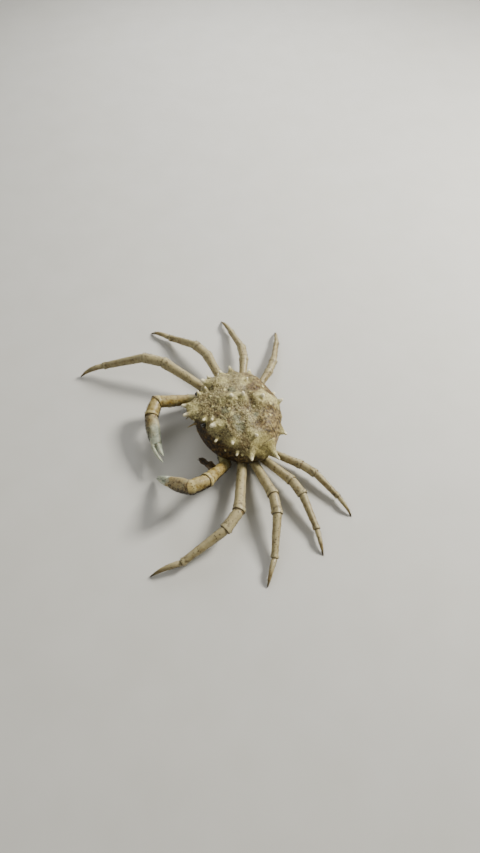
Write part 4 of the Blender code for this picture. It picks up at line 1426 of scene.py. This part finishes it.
class Plate:
    """One segment's fine plate, from its sections and the planes that end it."""

    def __init__(self, node: str, matrix: Matrix, length: float) -> None:
        """Remembers the name of its CAD node, its frame and its length in millimetres."""
        self.node, self.matrix, self.length = node, matrix, length

    def build(self, rows: Sequence[Row], details: Details, cuts: Sequence[Cut], sides: int,
              rings: int, bow: float = 0.0) -> None:
        """Models the plate.

        Args:
            rows: Oval sections in millimetres, past both ends where a cut trims them.
            details: Its relief.
            cuts: Planes that end it.
            sides: Points round a section.
            rings: Sections from end to end.
            bow: Arch of the whole, as a share of its length.
        """
        bm = tube_blank(rows, sides, rings, details.relief(self.length))
        for vert in bm.verts:
            along = vert.co.z / MM
            vert.co.x += 4.0 * bow * along * (1.0 - along / self.length) * MM
        for cut in cuts:
            self.finish_end(bm, trim(bm, cut.point, cut.outward), cut)
        bmesh.ops.recalc_face_normals(bm, faces=bm.faces)
        bm.transform(self.matrix)
        self.object = new_object(f"{self.node}_plate", bm)
        self.skin = Surface(self.object.data)
        local = self.local(self.skin.points)
        self.cavity = self.inner(local, cuts)
        seed = 0.37 * sum(map(ord, self.object.name)) % 50.0
        depth = details.unevenness * grain(local, 5.0, 3, seed)
        depth += details.granule * beads(local, 1.5, 0.5, seed)
        self.skin.push(depth * (1.0 - self.cavity))

    @staticmethod
    def finish_end(bm: BMesh, caps: list[BMFace], cut: Cut, sink: float = 0.8) -> None:
        """Rounds a cut end, and sinks a cup into it where the next segment sits."""
        if not caps:
            return
        rim = list(dict.fromkeys(edge for face in caps for edge in face.edges))
        if cut.rim is Rim.CUP:
            bmesh.ops.inset_region(bm, faces=caps, thickness=sink * MM, use_even_offset=True)
            floor = list(dict.fromkeys(vert for face in caps for vert in face.verts))
            bmesh.ops.translate(bm, vec=cut.outward * (-sink * MM), verts=floor)
        bmesh.ops.bevel(bm, geom=rim, offset=cut.rim.value[0] * MM, offset_type="OFFSET",
                        segments=3, profile=0.5, affect="EDGES", material=-1, clamp_overlap=True)

    def local(self, points: Array) -> Array:
        """World points in the segment's own frame, in millimetres."""
        return within(self.matrix, points)

    @staticmethod
    def inner(local: Array, cuts: Sequence[Cut]) -> Array:
        """1 for points on or inside a cut end, 0 on the outside of the plate."""
        value = np.zeros(len(local))
        for cut in cuts:
            beyond = (local - np.array(cut.point) / MM) @ np.array(cut.outward)
            edge = cut.rim.value[1]
            value = np.maximum(value, ramp_between(beyond, edge, edge + 0.3))
        return value

    def dress(self, slot: str, material: Material, pale: Mask | None = None,
              smudge: Mask | None = None, stain: Mask | None = None) -> None:
        """Stores the masks that the plate's material reads, and dresses the plate.

        Args:
            slot: Name of a material slot.
            material: Its material.
            pale: Pale share from local places.
            smudge: Dark spotted share from local places.
            stain: Near-black share from local places.
        """
        skin, local = self.skin, self.local(self.skin.points)
        pale, smudge, stain = (mask(local) if mask else 0.0 for mask in (pale, smudge, stain))
        # painted shade in the plate's dents and, faintly, in its cut joint ends
        sunk = ramp_between(skin.hollow(5, 0.3), 0.3, 1.0) * 0.35
        sunk = np.maximum(sunk, self.cavity * 0.1)
        radial = np.hypot(local[:, 0], local[:, 1])
        rim = bell(self.length - local[:, 2] - 1.2) * (radial > 1.0)
        crest = ramp_between(-skin.hollow(5, 0.25), 0.35, 1.0) * 0.5
        skin.paint("wear", pale, rim * (1.0 - self.cavity), sunk)
        skin.paint("zone", smudge, crest, stain)
        skin.store()
        dress(self.object, slot, [material], [self.node])


def segment_rows(sections: Sequence[Row], length: float, girth: float) -> list[Row]:
    """Sections in millimetres, run past both ends so that the cuts can trim them."""
    rows = [(share * length, high * girth, wide * girth, 0.0) for share, high, wide in sections]
    reach = 1.3 * max(rows[0][1], rows[-1][1])
    first, last = rows[0], rows[-1]
    return [(first[0] - reach, *first[1:])] + rows[1:-1] + [(last[0] + reach, *last[1:])]


@dataclass
class WalkingLeg:
    """One walking leg of five plates."""

    plan: LimbPlan
    side: Side
    sides: int = 28
    bow: float = 0.10
    skins: tuple[float, ...] = (3.0, 3.4, 4.0, 3.0, 2.2)

    def build(self, material: Material, skin_material: Material) -> list[Plate]:
        """Models and dresses the leg.

        Args:
            material: Material of the plates.
            skin_material: Material of the joint skins.

        Returns:
            Its plates.
        """
        plan, girth, chain = self.plan, self.plan.girth, self.plan.chain(self.side)
        name = f"{plan.name}_{self.side.value}"
        made = []
        for index, (segment, sections) in enumerate(LEG_SECTIONS.items()):
            length, matrix = plan.lengths[index], chain.matrix(index)
            rows = segment_rows(sections, length, girth)
            rings = max(24, int(length * 1.5))
            cuts = [chain.cut(matrix, index, 1.0)]
            plate = Plate(f"{name}_{segment}", matrix, length)
            if segment == "dactyl":
                rows[-1] = (length, TIP_RADIUS, TIP_RADIUS, 0.0)
                plate.build(rows, Details(unevenness=0.06, granule=0.03), cuts, self.sides, rings,
                            self.bow)
                plate.skin.points[:, 2] = np.maximum(plate.skin.points[:, 2], 0.0)
                plate.dress("limb", material, stain=partial(self.horn, length))
            else:
                cuts.append(chain.cut(matrix, index + 1, -1.0))
                keel = 0.25 if segment in ("merus", "propodus") else 0.0
                plate.build(rows, Details(0.1 * girth, 0.3 * girth, 0.4 * girth, keel=keel), cuts,
                            self.sides, rings)
                plate.dress("limb", material, smudge=partial(self.smudge, length))
            made.append(plate)
        chain.skins(f"{name}_joint_skins", "limb", [radius * girth for radius in self.skins],
                    skin_material)
        return made

    @staticmethod
    def horn(length: float, local: Array) -> Array:
        """Brown horny tip."""
        return 0.85 * ramp_between(local[:, 2] / length, 0.72, 0.97)

    @staticmethod
    def smudge(length: float, local: Array) -> Array:
        """Brown pits beside the joints."""
        near = bell(local[:, 2] - length + 3.4, 1.6)
        return near * ramp_between(grain(local, 2.4, 2, length), -0.1, 0.5) * 0.75


@dataclass
class ClawLimb:
    """One claw limb: three arm plates, the palm with its fixed finger, and the moving one."""

    side: Side
    offset: float = 0.52
    width: float = 0.44
    step: float = 0.7
    # share of the finger's length, share of its width
    taper: tuple[Row, ...] = ((0.0, 1.0), (0.3, 0.92), (0.6, 0.7), (0.85, 0.42), (1.0, 0.17))
    skins: tuple[float, ...] = (3.4, 4.2, 4.5, 3.9)
    # collar, milky share of the root, share of dark spots, height where the stain starts
    arms: tuple[tuple[str, Row], ...] = (
        ("ischium", (0.14, 0.7, 0.2, -1.6)), ("merus", (0.4, 0.65, 0.5, -1.6)),
        ("carpus", (0.14, 0.0, 0.25, -0.4)))

    def __post_init__(self) -> None:
        """Sets what differs between the two sides."""
        left = self.side is Side.LEFT
        self.spread = Vector((-0.3, 0.55, 0.75)) if left else Vector((0.0, 0.92, 0.38))
        self.hook = 0.6 if left else 3.4
        self.shorter = 2.0 if left else 6.0
        self.milk = (0.92, 1.12) if left else (0.32, 0.85)

    def finger_rows(self, start: float, length: float, sign: float) -> list[Row]:
        """Sections of one finger beyond the palm, tapering and hooking sideways."""
        _, across, through = CLAW_SECTIONS["palm"][-1]
        rows = []
        for share, taper in self.taper:
            middle = sign * self.offset * across * (1.0 - 0.72 * share ** 1.6)
            deep = 0.94 - 0.22 * min(share / 0.5, 1.0)
            rows.append((start + share * length, self.width * across * taper,
                         deep * through * taper, middle + self.hook * share ** 1.8))
        return rows

    def arm(self, index: int, material: Material, chain: Chain) -> Plate:
        """One of the three plates between the chest and the palm."""
        segment, (collar, milky, spotted, top) = self.arms[index]
        length, matrix = CLAW.lengths[index], chain.matrix(index)

        def pale(local: Array) -> Array:
            """Milky share towards the chest."""
            whole = segment == "ischium"
            return milky * (1.0 if whole else ramp_between(local[:, 2] / length, 0.3, 0.05))

        def smudge(local: Array) -> Array:
            """Dark spots along the plate."""
            return spotted * ramp_between(grain(local, 2.2, 2, 5.0 + length), 0.26, 0.5)

        def stain(local: Array) -> Array:
            """Dark lower side at the elbow."""
            low = local[:, 0] + grain(local, 4.0, 2, 2.0)
            return 0.85 * ramp_between(low, top, top - 2.6)

        plate = Plate(f"cheliped_{self.side.value}_{segment}", matrix, length)
        plate.build(segment_rows(CLAW_SECTIONS[segment], length, 1.0),
                    Details(collar, 0.3, 0.45, 0.3, 0.16),
                    [chain.cut(matrix, index, 1.0), chain.cut(matrix, index + 1, -1.0)],
                    36, max(30, int(length * 1.8)))
        plate.dress("claw", material, pale, smudge, stain)
        return plate

    def build(self, material: Material, finger: Material, skin_material: Material
              ) -> list[Plate]:
        """Models and dresses the claw limb.

        Args:
            material: Material of the arm.
            finger: Material of the palm and the fingers.
            skin_material: Material of the joint skins.

        Returns:
            Its plates.
        """
        name = f"cheliped_{self.side.value}"
        chain = CLAW.chain(self.side)
        made = [self.arm(index, material, chain) for index in range(len(self.arms))]
        wrist = len(made)
        palm_length, finger_length = CLAW.lengths[wrist:]
        whole = palm_length + finger_length
        masks = [partial(mask, palm_length) for mask in (self.pale, self.smudge, self.stain)]
        matrix = chain.matrix(wrist, self.spread)
        rows = segment_rows(CLAW_SECTIONS["palm"], palm_length, 1.0)
        rows[-1] = (palm_length, *CLAW_SECTIONS["palm"][-1][1:], 0.0)
        rows += self.finger_rows(palm_length + self.step, finger_length - self.step, -1.0)
        palm = Plate(f"{name}_palm", matrix, whole)
        palm.build(rows, Details(neck=0.5, unevenness=0.12, granule=0.05),
                   [chain.cut(matrix, wrist, 1.0)], 36, 96)
        fork = palm.local(palm.skin.points)[:, 2] - palm_length
        palm.skin.smooth(10, 0.5 * bell(fork, 1.6))
        palm.dress("finger", finger, *masks)

        moving = Plate(f"{name}_dactyl", matrix, whole)
        moving.build(self.finger_rows(palm_length + self.step + 0.3,
                                      finger_length - self.shorter, 1.0),
                     Details(neck=0.0, unevenness=0.08, granule=0.03), [], 30, 52)
        moving.dress("finger", finger, *masks)
        chain.skins(f"{name}_joint_skins", "claw", self.skins, skin_material)
        return made + [palm, moving]

    def pale(self, palm: float, local: Array) -> Array:
        """Milky from the middle of the palm to the tips, most on the inner side."""
        start = local[:, 2] + 5.0 * grain(local, 6.0, 2, 4.0)
        inner = ramp_between(local[:, 0], -3.0, 4.0) * 4.0
        tan_end, milk_start = self.milk
        return ramp_between(start + inner, tan_end * palm, milk_start * palm)

    def smudge(self, palm: float, local: Array) -> Array:
        """Brown spots near the wrist."""
        spots = ramp_between(grain(local, 1.8, 2, 7.0), 0.3, 0.52)
        return spots * ramp_between(local[:, 2], 0.6 * palm, 0.2 * palm) * 0.8

    def stain(self, palm: float, local: Array) -> Array:
        """Dark lower outer side of the left palm, and a faint dark wrist on the right."""
        if self.side is Side.RIGHT:
            return 0.25 * ramp_between(local[:, 2] / sum(CLAW.lengths[-2:]), 0.25, 0.0)
        low = ramp_between(local[:, 0] + grain(local, 4.0, 2, 2.0), -2.4, -4.8)
        return 0.8 * low * ramp_between(local[:, 2], palm * 0.9, palm * 0.2)


# ---- belly ----------------------------------------------------------------------------
def seam_lines(along: Array, seams: Sequence[float], bow: Array, width: float) -> Array:
    """Mask of the seams across a plate.

    Args:
        along: Place of each point along the plate.
        seams: Place of each seam on the middle line.
        bow: How far a seam bends at each point.
        width: Width of the seams.

    Returns:
        From 0 away from the seams to 1 on them.
    """
    return np.maximum.reduce([bell(along - (seam + bow), width) for seam in seams])


@dataclass
class Belly:
    """The chest plate with its ten limb stubs, and the tail flap folded under it."""

    flap_thickness: float = 2.3
    gap: float = 0.3
    stub_length: float = 11.0
    # share of a stub's length, share of its root's radius
    stub: tuple[Row, ...] = ((0.0, 0.9), (0.5, 0.95), (0.8, 0.97), (0.92, 1.02))
    # forward, half width, margin height, top, bottom
    chest: tuple[Row, ...] = (
        (14.6, 0.0, -20.4, -14.0, -21.6), (12.6, 8.0, -20.4, -10.0, -24.4),
        (6.0, 15.0, -19.8, -8.0, -25.6), (-2.0, 18.6, -18.4, -6.0, -25.4),
        (-11.0, 20.0, -16.4, -5.0, -24.4), (-20.0, 19.0, -14.0, -4.0, -22.6),
        (-28.0, 15.0, -12.0, -4.0, -19.0), (-34.0, 9.0, -10.0, -4.0, -14.0),
        (-36.4, 0.0, -9.0, -7.0, -10.0))
    flap: tuple[Row, ...] = (
        (-3.0, 0.0, -22.0, -12.0, -34.0), (-5.0, 4.2, -22.0, -12.0, -34.0),
        (-13.0, 7.2, -22.0, -10.0, -34.0), (-22.0, 8.6, -20.0, -8.0, -32.0),
        (-29.0, 10.4, -18.0, -6.0, -30.0), (-33.0, 9.6, -17.0, -4.0, -28.0),
        (-34.6, 0.0, -16.0, -4.0, -26.0))
    chest_seams: tuple[float, ...] = (2.0, -6.6, -14.0, -20.4, -26.5)
    flap_seams: tuple[float, ...] = (-9.0, -14.0, -18.6, -23.0, -27.2, -31.0)

    def limb_stub(self, plan: LimbPlan, side: Side) -> BMesh:
        """The short root of a limb, mitred where the limb begins, in the world."""
        chain, radius = plan.chain(side), plan.root[3]
        rows = round_rows((self.stub_length * at, radius * wide) for at, wide in self.stub)
        rows += round_rows([(self.stub_length + 1.6 * radius, radius)])
        piece = tube_blank(rows, 28, 30)
        joint, mitre = chain.joints[0], chain.halfway(0)
        start = joint - chain.stub * self.stub_length * MM
        piece.transform(frame_along(start, chain.stub, UP))
        trim(piece, joint - mitre * JOINT_GAP * 0.5 * MM, mitre)
        return piece

    def build_chest(self, material: Material) -> None:
        """Models and dresses the chest."""
        bm = body_blank(self.chest, 96, 70, partial(oval_place, power=0.8))
        point, normal = edge_plane()
        trim(bm, point + normal * self.gap * MM, -normal)
        trim(bm, *level_plane((self.flap_thickness + self.gap) * MM))
        bm.transform(STANCE.matrix())
        for plan in (CLAW, *LEGS):
            for side in Side:
                join(bm, self.limb_stub(plan, side))
        chest = remeshed(new_object("sternum_plate", bm), 0.5)
        skin = Surface(chest.data)
        skin.smooth(4)
        places = STANCE.measures(skin.points)
        forward, sideways, height = places.T
        seams = seam_lines(forward, self.chest_seams, 0.16 * np.abs(sideways), 0.55)
        seams *= ramp_between(height, -13.0, -19.0) * (np.abs(sideways) > 9.0)
        depth = 0.18 * grain(places, 4.0, 3, 3.0) + 0.1 * beads(places, 1.5, 0.5, 1.0)
        depth -= 0.55 * seams
        depth[skin.points[:, 2] < (self.flap_thickness + self.gap + 0.3) * MM] = 0.0
        skin.push(depth)
        # painted shade in the chest's dents, together with its darker seams
        sunk = np.maximum(seams, ramp_between(skin.hollow(10, 0.5), 0.15, 0.9)) * 0.8
        skin.paint("wear", 0.3 + 0.3 * grain(places, 7.0, 2, 4.0), 0.0, sunk)
        # darker towards the top of the chest, just under the shell's edge
        skin.paint("zone", 0.0, 0.0, 0.5 * ramp_between(height, -20.0, -14.0))
        skin.store()
        dress(chest, "belly", [material], ["sternum"])

    def build_flap(self, material: Material) -> None:
        """Models and dresses the tail flap, flat underneath."""
        thick = self.flap_thickness * MM
        bm = body_blank(self.flap, 120, 110, partial(oval_place, power=0.5))
        trim(bm, *level_plane(0.0))
        point, normal = level_plane(thick)
        trim(bm, point, -normal)
        bm.transform(STANCE.matrix())
        flap = remeshed(new_object("abdomen_plate", bm), 0.3)
        skin = Surface(flap.data)
        skin.smooth(4)
        places = STANCE.measures(skin.points)
        forward, sideways, _ = places.T
        seams = seam_lines(forward, self.flap_seams, -0.012 * sideways ** 2, 0.34)
        keel = bell(sideways, 1.6)
        skin.points[:, 2] = np.clip(skin.points[:, 2], 0.0, thick)
        inward = 0.55 * seams + 0.12 * (1.0 - keel) * (np.abs(sideways) > 3.0)
        skin.points[:, 2] += np.where(skin.points[:, 2] < 0.5 * thick, inward * MM, 0.0)
        skin.paint("wear", 0.35 + 0.3 * grain(places, 5.0, 2, 6.0), 0.0, seams * 0.85)
        skin.paint("zone", 0.0, 0.4 * keel)
        skin.store()
        dress(flap, "belly", [material], ["abdomen"])


# ---- bristles and weed ----------------------------------------------------------------
@dataclass
class Coat:
    """Short curved bristles in tufts over one or more plates, as one joined mesh."""

    name: str
    length: float
    seed: int
    thickness: float = 0.055
    hairs: int = 5
    lean: float = 0.8
    sunk: float = 0.08

    def template(self) -> tuple[Array, list[tuple[int, ...]]]:
        """One tuft of curved three-sided hairs, of length 1 along +Z and bent towards +X."""
        chooser = random.Random(self.seed)
        thick = self.thickness / self.length
        bm = bmesh.new()
        for _ in range(self.hairs):
            turn, spread = chooser.uniform(0.0, math.tau), chooser.uniform(0.0, 0.3)
            tall = chooser.uniform(0.65, 1.0)
            outward = Vector((math.cos(turn), math.sin(turn), 0.0))
            hair = bmesh.new()
            bmesh.ops.create_cone(hair, cap_ends=True, segments=3, radius1=thick,
                                  radius2=thick * 0.25, depth=1.0)
            bmesh.ops.translate(hair, vec=(0, 0, 0.5), verts=hair.verts[:])
            bmesh.ops.bisect_plane(hair, geom=hair.verts[:] + hair.edges[:] + hair.faces[:],
                                   dist=1e-6, plane_co=(0, 0, 0.5), plane_no=(0, 0, 1))
            for vert in hair.verts:
                x, y, up = vert.co
                bend = outward * spread + Vector((0.35 * up, 0.0, 0.0))
                vert.co = outward * 0.14 + Vector((x, y, up * tall)) + bend * up
            join(bm, hair)
        bm.verts.index_update()
        points = np.array([vert.co[:] for vert in bm.verts])
        faces = [tuple(vert.index for vert in face.verts) for face in bm.faces]
        bm.free()
        return points, faces

    def plant(self, roots: Array, normals: Array, lies: Array, unwrap: Array,
              scales: Array) -> Object:
        """Stands a tuft at each root.

        Args:
            roots: World places.
            normals: Outward directions there.
            lies: Directions in which the tufts lean.
            unwrap: Places of the roots on the skin's own unwrap.
            scales: Share of the full length for each tuft.

        Returns:
            The joined object, not dressed yet.
        """
        points, faces = self.template()
        lies = lies + np.random.default_rng(self.seed).normal(0.0, 0.45, lies.shape)
        along = normals + lies * self.lean
        along /= np.linalg.norm(along, axis=1)[:, None]
        over = lies - along * np.einsum("ij,ij->i", lies, along)[:, None]
        over /= np.maximum(np.linalg.norm(over, axis=1), 1e-9)[:, None]
        axes = (over, np.cross(along, over), along)
        reach = (scales * self.length * MM)[:, None, None]
        placed = (roots - normals * self.sunk * MM)[:, None, :] + reach * sum(
            points[None, :, [index]] * axis[:, None, :] for index, axis in enumerate(axes))
        placed[..., 2] = np.maximum(placed[..., 2], 0.0)
        mesh = bpy.data.meshes.new(self.name)
        every = [tuple(i + len(points) * index for i in face)
                 for index in range(len(roots)) for face in faces]
        mesh.from_pydata(placed.reshape(-1, 3).tolist(), [], every)
        self.unwrap(mesh, points[:, [0, 2]], unwrap)
        return linked(self.name, mesh)

    @staticmethod
    def unwrap(mesh: Mesh, flat: Array, centres: Array, size: float = 0.003) -> None:
        """Lays each tuft flat at its root's place on the skin's unwrap.

        Args:
            mesh: The tufts.
            flat: One tuft's points seen from the side.
            centres: Places of the roots on the unwrap.
            size: Width of a tuft there.
        """
        local = flat - flat.min(0)
        local = local / local.max() * size - 0.5 * size
        places = (centres[:, None, :] + local[None, :, :]).reshape(-1, 2)
        layer = mesh.uv_layers.new(name="OFBake")
        corners = np.empty(len(mesh.loops), dtype=np.int64)
        mesh.loops.foreach_get("vertex_index", corners)
        layer.data.foreach_set("uv", places[corners].astype(np.float32).ravel())


def scatter(mesh: Mesh, count: int, wanted: Mask, seed: int) -> tuple[Array, Array]:
    """Random places on a mesh.

    Args:
        mesh: A mesh in the world.
        count: Number of tries.
        wanted: Chance from 0 to 1 at each world place.
        seed: Seed of the draws.

    Returns:
        Places and outward directions.
    """
    draw = np.random.default_rng(seed)
    total = len(mesh.polygons)
    areas, centres, normals = np.empty(total), np.empty(total * 3), np.empty(total * 3)
    for name, values in (("area", areas), ("center", centres), ("normal", normals)):
        mesh.polygons.foreach_get(name, values)
    picked = draw.choice(total, size=count, p=areas / areas.sum())
    directions = normals.reshape(-1, 3)[picked]
    stray = draw.uniform(-0.55, 0.55, (count, 3)) * np.sqrt(areas[picked])[:, None]
    stray -= directions * np.einsum("ij,ij->i", stray, directions)[:, None]
    places = centres.reshape(-1, 3)[picked] + stray
    keep = draw.random(count) < wanted(places)
    return places[keep], directions[keep]


def fringe(local: Array, length: float) -> Array:
    """Chance of a bristle on a walking leg: most on its two edges and near its joints."""
    turn = np.arctan2(local[:, 1], local[:, 0])
    ends = bell(length - local[:, 2], 4.0)
    return np.clip(0.12 + 0.5 * np.abs(np.sin(turn)) ** 6 + 0.4 * ends, 0.0, 1.0)


def fuzz(local: Array, _length: float) -> Array:
    """Chance of a bristle on a claw arm: mostly its lower side, none on the fingers."""
    low = ramp_between(local[:, 0], 1.0, -3.5)
    sides = np.abs(local[:, 1]) / np.maximum(np.hypot(local[:, 0], local[:, 1]), 0.1)
    return np.clip(0.75 * low + 0.15 * sides ** 4, 0.0, 1.0) * (local[:, 2] < 22.0)


def shell_chance(points: Array) -> Array:
    """Chance of a bristle on the shell: most on its margins, few on its back."""
    forward, _, height = STANCE.measures(points).T
    chance = np.clip(0.6 * bell(height + 1.5, 3.5) + 0.12, 0.0, 1.0)
    return chance * (height > edge_height(forward) + 1.5)


def shell_bristles(shell: Object, material: Material, tries: int = 9000) -> None:
    """Short bristles on the shell's margins and flanks, thinner on its back."""
    roots, normals = scatter(shell.data, tries, shell_chance, 3)
    lies = np.tile((0.0, -0.4, -0.6), (len(roots), 1)) + 0.3 * normals
    forward, sideways, height = STANCE.measures(roots).T
    turn = np.arctan2(height + 4.0, sideways) / math.tau
    unwrap = np.column_stack((0.5 + 0.45 * np.sin(math.pi * turn), 0.5 + forward / 90.0))
    scales = np.random.default_rng(4).uniform(0.6, 1.0, len(roots))
    coat = Coat("shell_bristles", 1.15, 7)
    dress(coat.plant(roots, normals, lies, unwrap, scales), "shell", [material])


@dataclass(frozen=True)
class LimbCoat:
    """How the bristles of one kind of limb grow."""

    slot: str
    tries: int
    length: float
    seed: int
    wanted: Callable[[Array, float], Array]
    material: Material

    def build(self, name: str, side: Side, plates: Sequence[Plate]) -> None:
        """Models and dresses the bristles of one side.

        Args:
            name: Piece name.
            side: The side, which sets the draws.
            plates: The plates that carry them.
        """
        seed = self.seed + list(Side).index(side)
        parts = []
        for index, plate in enumerate(plates):
            roots, normals = scatter(plate.object.data, self.tries, partial(self.chance, plate),
                                     seed + index)
            along = np.tile(np.array(plate.matrix.col[2][:3]), (len(roots), 1))
            keep = np.abs(np.einsum("ij,ij->i", normals, along)) < 0.7
            roots, normals, along = roots[keep], normals[keep], along[keep]
            local = plate.local(roots)
            turn = np.arctan2(local[:, 1], local[:, 0]) / math.tau + 0.5
            share = np.clip(local[:, 2] / plate.length, 0.0, 1.0)
            unwrap = np.column_stack((0.02 + 0.94 * turn,
                                      (index + 0.05 + 0.9 * share) / len(plates)))
            parts.append((roots, normals, along, unwrap))
        columns = [np.concatenate(column) for column in zip(*parts)]
        scales = np.random.default_rng(seed).uniform(0.55, 1.0, len(columns[0]))
        coat = Coat(name, self.length, seed)
        dress(coat.plant(*columns, scales), self.slot, [self.material])

    def chance(self, plate: Plate, points: Array) -> Array:
        """Chance of a tuft on a plate, none on its axis, where the ends are cut."""
        local = plate.local(points)
        return self.wanted(local, plate.length) * (np.hypot(local[:, 0], local[:, 1]) > 0.3)


@dataclass
class Weed:
    """A scrap of dark weed caught on the left claw's arm."""

    root: Place = (17.6, 45.2, -14.6)
    tip: Place = (30.9, 40.1, -12.0)
    facing: Place = (0.6, -0.1, 0.8)
    thickness: float = 0.45

    def build(self, material: Material) -> None:
        """Models and dresses the frond: a ragged curled blade with a forked tip."""
        start, end = (STANCE.matrix() @ STANCE.point(*place) for place in (self.root, self.tip))
        length = (end - start).length
        bm = bmesh.new()
        bmesh.ops.create_grid(bm, x_segments=40, y_segments=12, size=0.5)
        for vert in bm.verts:
            share, across = vert.co.x + 0.5, vert.co.y * 2.0
            edge = math.copysign(2.3, across)
            ragged = 0.85 + 0.9 * noise.noise(Vector((5.5 * share, edge, 0.4)))
            wide = 2.9 * math.sin(math.pi * (0.14 + 0.8 * share)) ** 0.8 * ragged + 0.3
            fork = 1.3 * float(ramp_between(share, 0.72, 1.0)) * (1.0 - abs(across))
            curl = 0.8 * math.sin(5.0 * share) + 0.7 * across ** 2 + 0.4 * across
            vert.co = Vector((curl * MM, across * wide * MM, share * length - fork * MM))
        bm.transform(frame_along(start, end - start, Vector(self.facing)))
        obj = new_object("weed_frond", bm)
        thick = obj.modifiers.new("thickness", "SOLIDIFY")
        thick.thickness = self.thickness * MM
        thick.offset = 0.0
        settle(obj)
        skin = Surface(obj.data)
        skin.push(0.25 * grain(skin.points / MM, 1.6, 2, 3.0))
        skin.store()
        dress(obj, None, [material])


# ---- studio ---------------------------------------------------------------------------
@dataclass
class Studio:
    """Pale floor, soft lights and the camera."""

    azimuth: float = 79.1
    elevation: float = 53.5
    distance: float = 519.6
    lens: float = 27.98
    aside: float = 6.19
    above: float = 12.62
    floor_size: float = 12.0
    aim: Place = (0.0, 0.0, 0.02)
    sky: Row = (0.8, 0.79, 0.76, 1.0)
    sky_power: float = 0.23

    def axes(self) -> tuple[Vector, Vector, Vector]:
        """Right, up and backward directions of the camera."""
        turn, tilt = math.radians(self.azimuth), math.radians(self.elevation)
        right = Vector((math.cos(turn), math.sin(turn), 0.0))
        back = Vector((math.sin(turn) * math.cos(tilt), -math.cos(turn) * math.cos(tilt),
                       math.sin(tilt)))
        return right, back.cross(right), back

    def camera(self) -> None:
        """The camera, looking down from the crab's left."""
        right, up, back = self.axes()
        matrix = Matrix((right, up, back)).transposed().to_4x4()
        matrix.translation = (Vector(STANCE.centre) + self.distance * back + self.aside * right
                              - self.above * up) * MM
        camera = linked("camera", bpy.data.cameras.new("camera"))
        camera.matrix_world = matrix
        camera.data.lens = self.lens
        camera.data.clip_start = 0.01
        bpy.context.scene.camera = camera

    def lamp(self, name: str, place: Vector, size: float, power: float, colour: Place) -> None:
        """A square area light aimed at the crab."""
        data = bpy.data.lights.new(name, "AREA")
        data.size, data.energy, data.color = size, power, colour
        lamp = linked(name, data)
        lamp.location = place
        lamp.rotation_euler = (Vector(self.aim) - place).to_track_quat("-Z", "Y").to_euler()

    def build(self) -> None:
        """Makes the whole studio."""
        self.camera()
        right, up, _ = self.axes()
        level_up = Vector((up.x, up.y, 0.0)).normalized()
        for name, across, ahead, high, size, power, colour in (
                ("key", 0.72, 0.34, 0.62, 0.25, 18.5, (1.0, 0.97, 0.9)),
                ("fill", -0.7, -0.3, 0.9, 1.0, 3.5, (1.0, 0.98, 0.94)),
                ("rim", 0.0, 0.8, 0.45, 0.5, 4.0, (1.0, 1.0, 1.0))):
            self.lamp(name, right * across + level_up * ahead + UP * high, size, power, colour)
        world = bpy.data.worlds.new("studio")
        world.use_nodes = True
        background = world.node_tree.nodes["Background"]
        background.inputs[0].default_value = self.sky
        background.inputs[1].default_value = self.sky_power
        bpy.context.scene.world = world
        bm = bmesh.new()
        bmesh.ops.create_grid(bm, x_segments=4, y_segments=4, size=self.floor_size * 0.5)
        floor = new_object("studio_floor", bm)
        floor.data.materials.append(floor_material())


def main() -> None:
    """Builds every piece in order and reports it."""
    logging.basicConfig(level=logging.INFO, format="%(message)s")
    Studio().build()
    limb = PlateFinish("leg_plate", ("5C502D", "88794D", "AB9D6B"), "3B2911",
                       ("9F9D80", "C2BFA2"), "BFB58C", "241A0C").material()
    claw = PlateFinish("claw_arm_plate", ("6C5622", "8B7436", "A58F4C"), "3A250E",
                       ("817F59", "A3A174"), "BDB07A", "1D1308", rim_share=0.8,
                       patches="856F34").material()
    finger = PlateFinish("pale_finger", ("7A6434", "9C8650", "B5A26E"), "3E2811",
                         ("9AA38B", "CCD0B7"), "B9B08A", "170F06", coat=0.2,
                         clear=0.1, patches="A48C54").material()
    belly = PlateFinish("belly_plate", ("7A6B45", "9F9066", "BAAE86"), "4D391D",
                        ("ABA078", "C9C09C"), "CCC29E", "271C0D").material()
    membrane, pale_bristle, dark_bristle, weed = (
        SimpleFinish(*values).material() for values in (
            ("joint_skin", ("6A5430", "9A8557"), 1.2, 0.4, 0.1, 0.3),
            ("pale_bristle", ("4E4024", "7D6D45"), 3.0, 0.55),
            ("dark_bristle", ("1E1408", "3E2C14"), 3.0, 0.55),
            ("dark_weed", ("140E06", "45351A"), 1.4, 0.62, 0.2)))

    shell = Shell().build(ShellFinish().material())
    Head().build(limb, belly)
    Belly().build_chest(belly)
    Belly().build_flap(belly)
    shell_bristles(shell, pale_bristle)
    claw_coat = LimbCoat("claw", 2600, 1.5, 40, fuzz, dark_bristle)
    leg_coat = LimbCoat("limb", 350, 1.3, 60, fringe, pale_bristle)
    for side in Side:
        plates = ClawLimb(side).build(claw, finger, membrane)
        claw_coat.build(f"cheliped_{side.value}_fuzz", side, plates[:4])
        plates = [plate for plan in LEGS for plate in WalkingLeg(plan, side).build(limb, membrane)]
        leg_coat.build(f"legs_{side.value}_bristles", side, plates)
    Weed().build(weed)


if __name__ == "__main__":
    main()
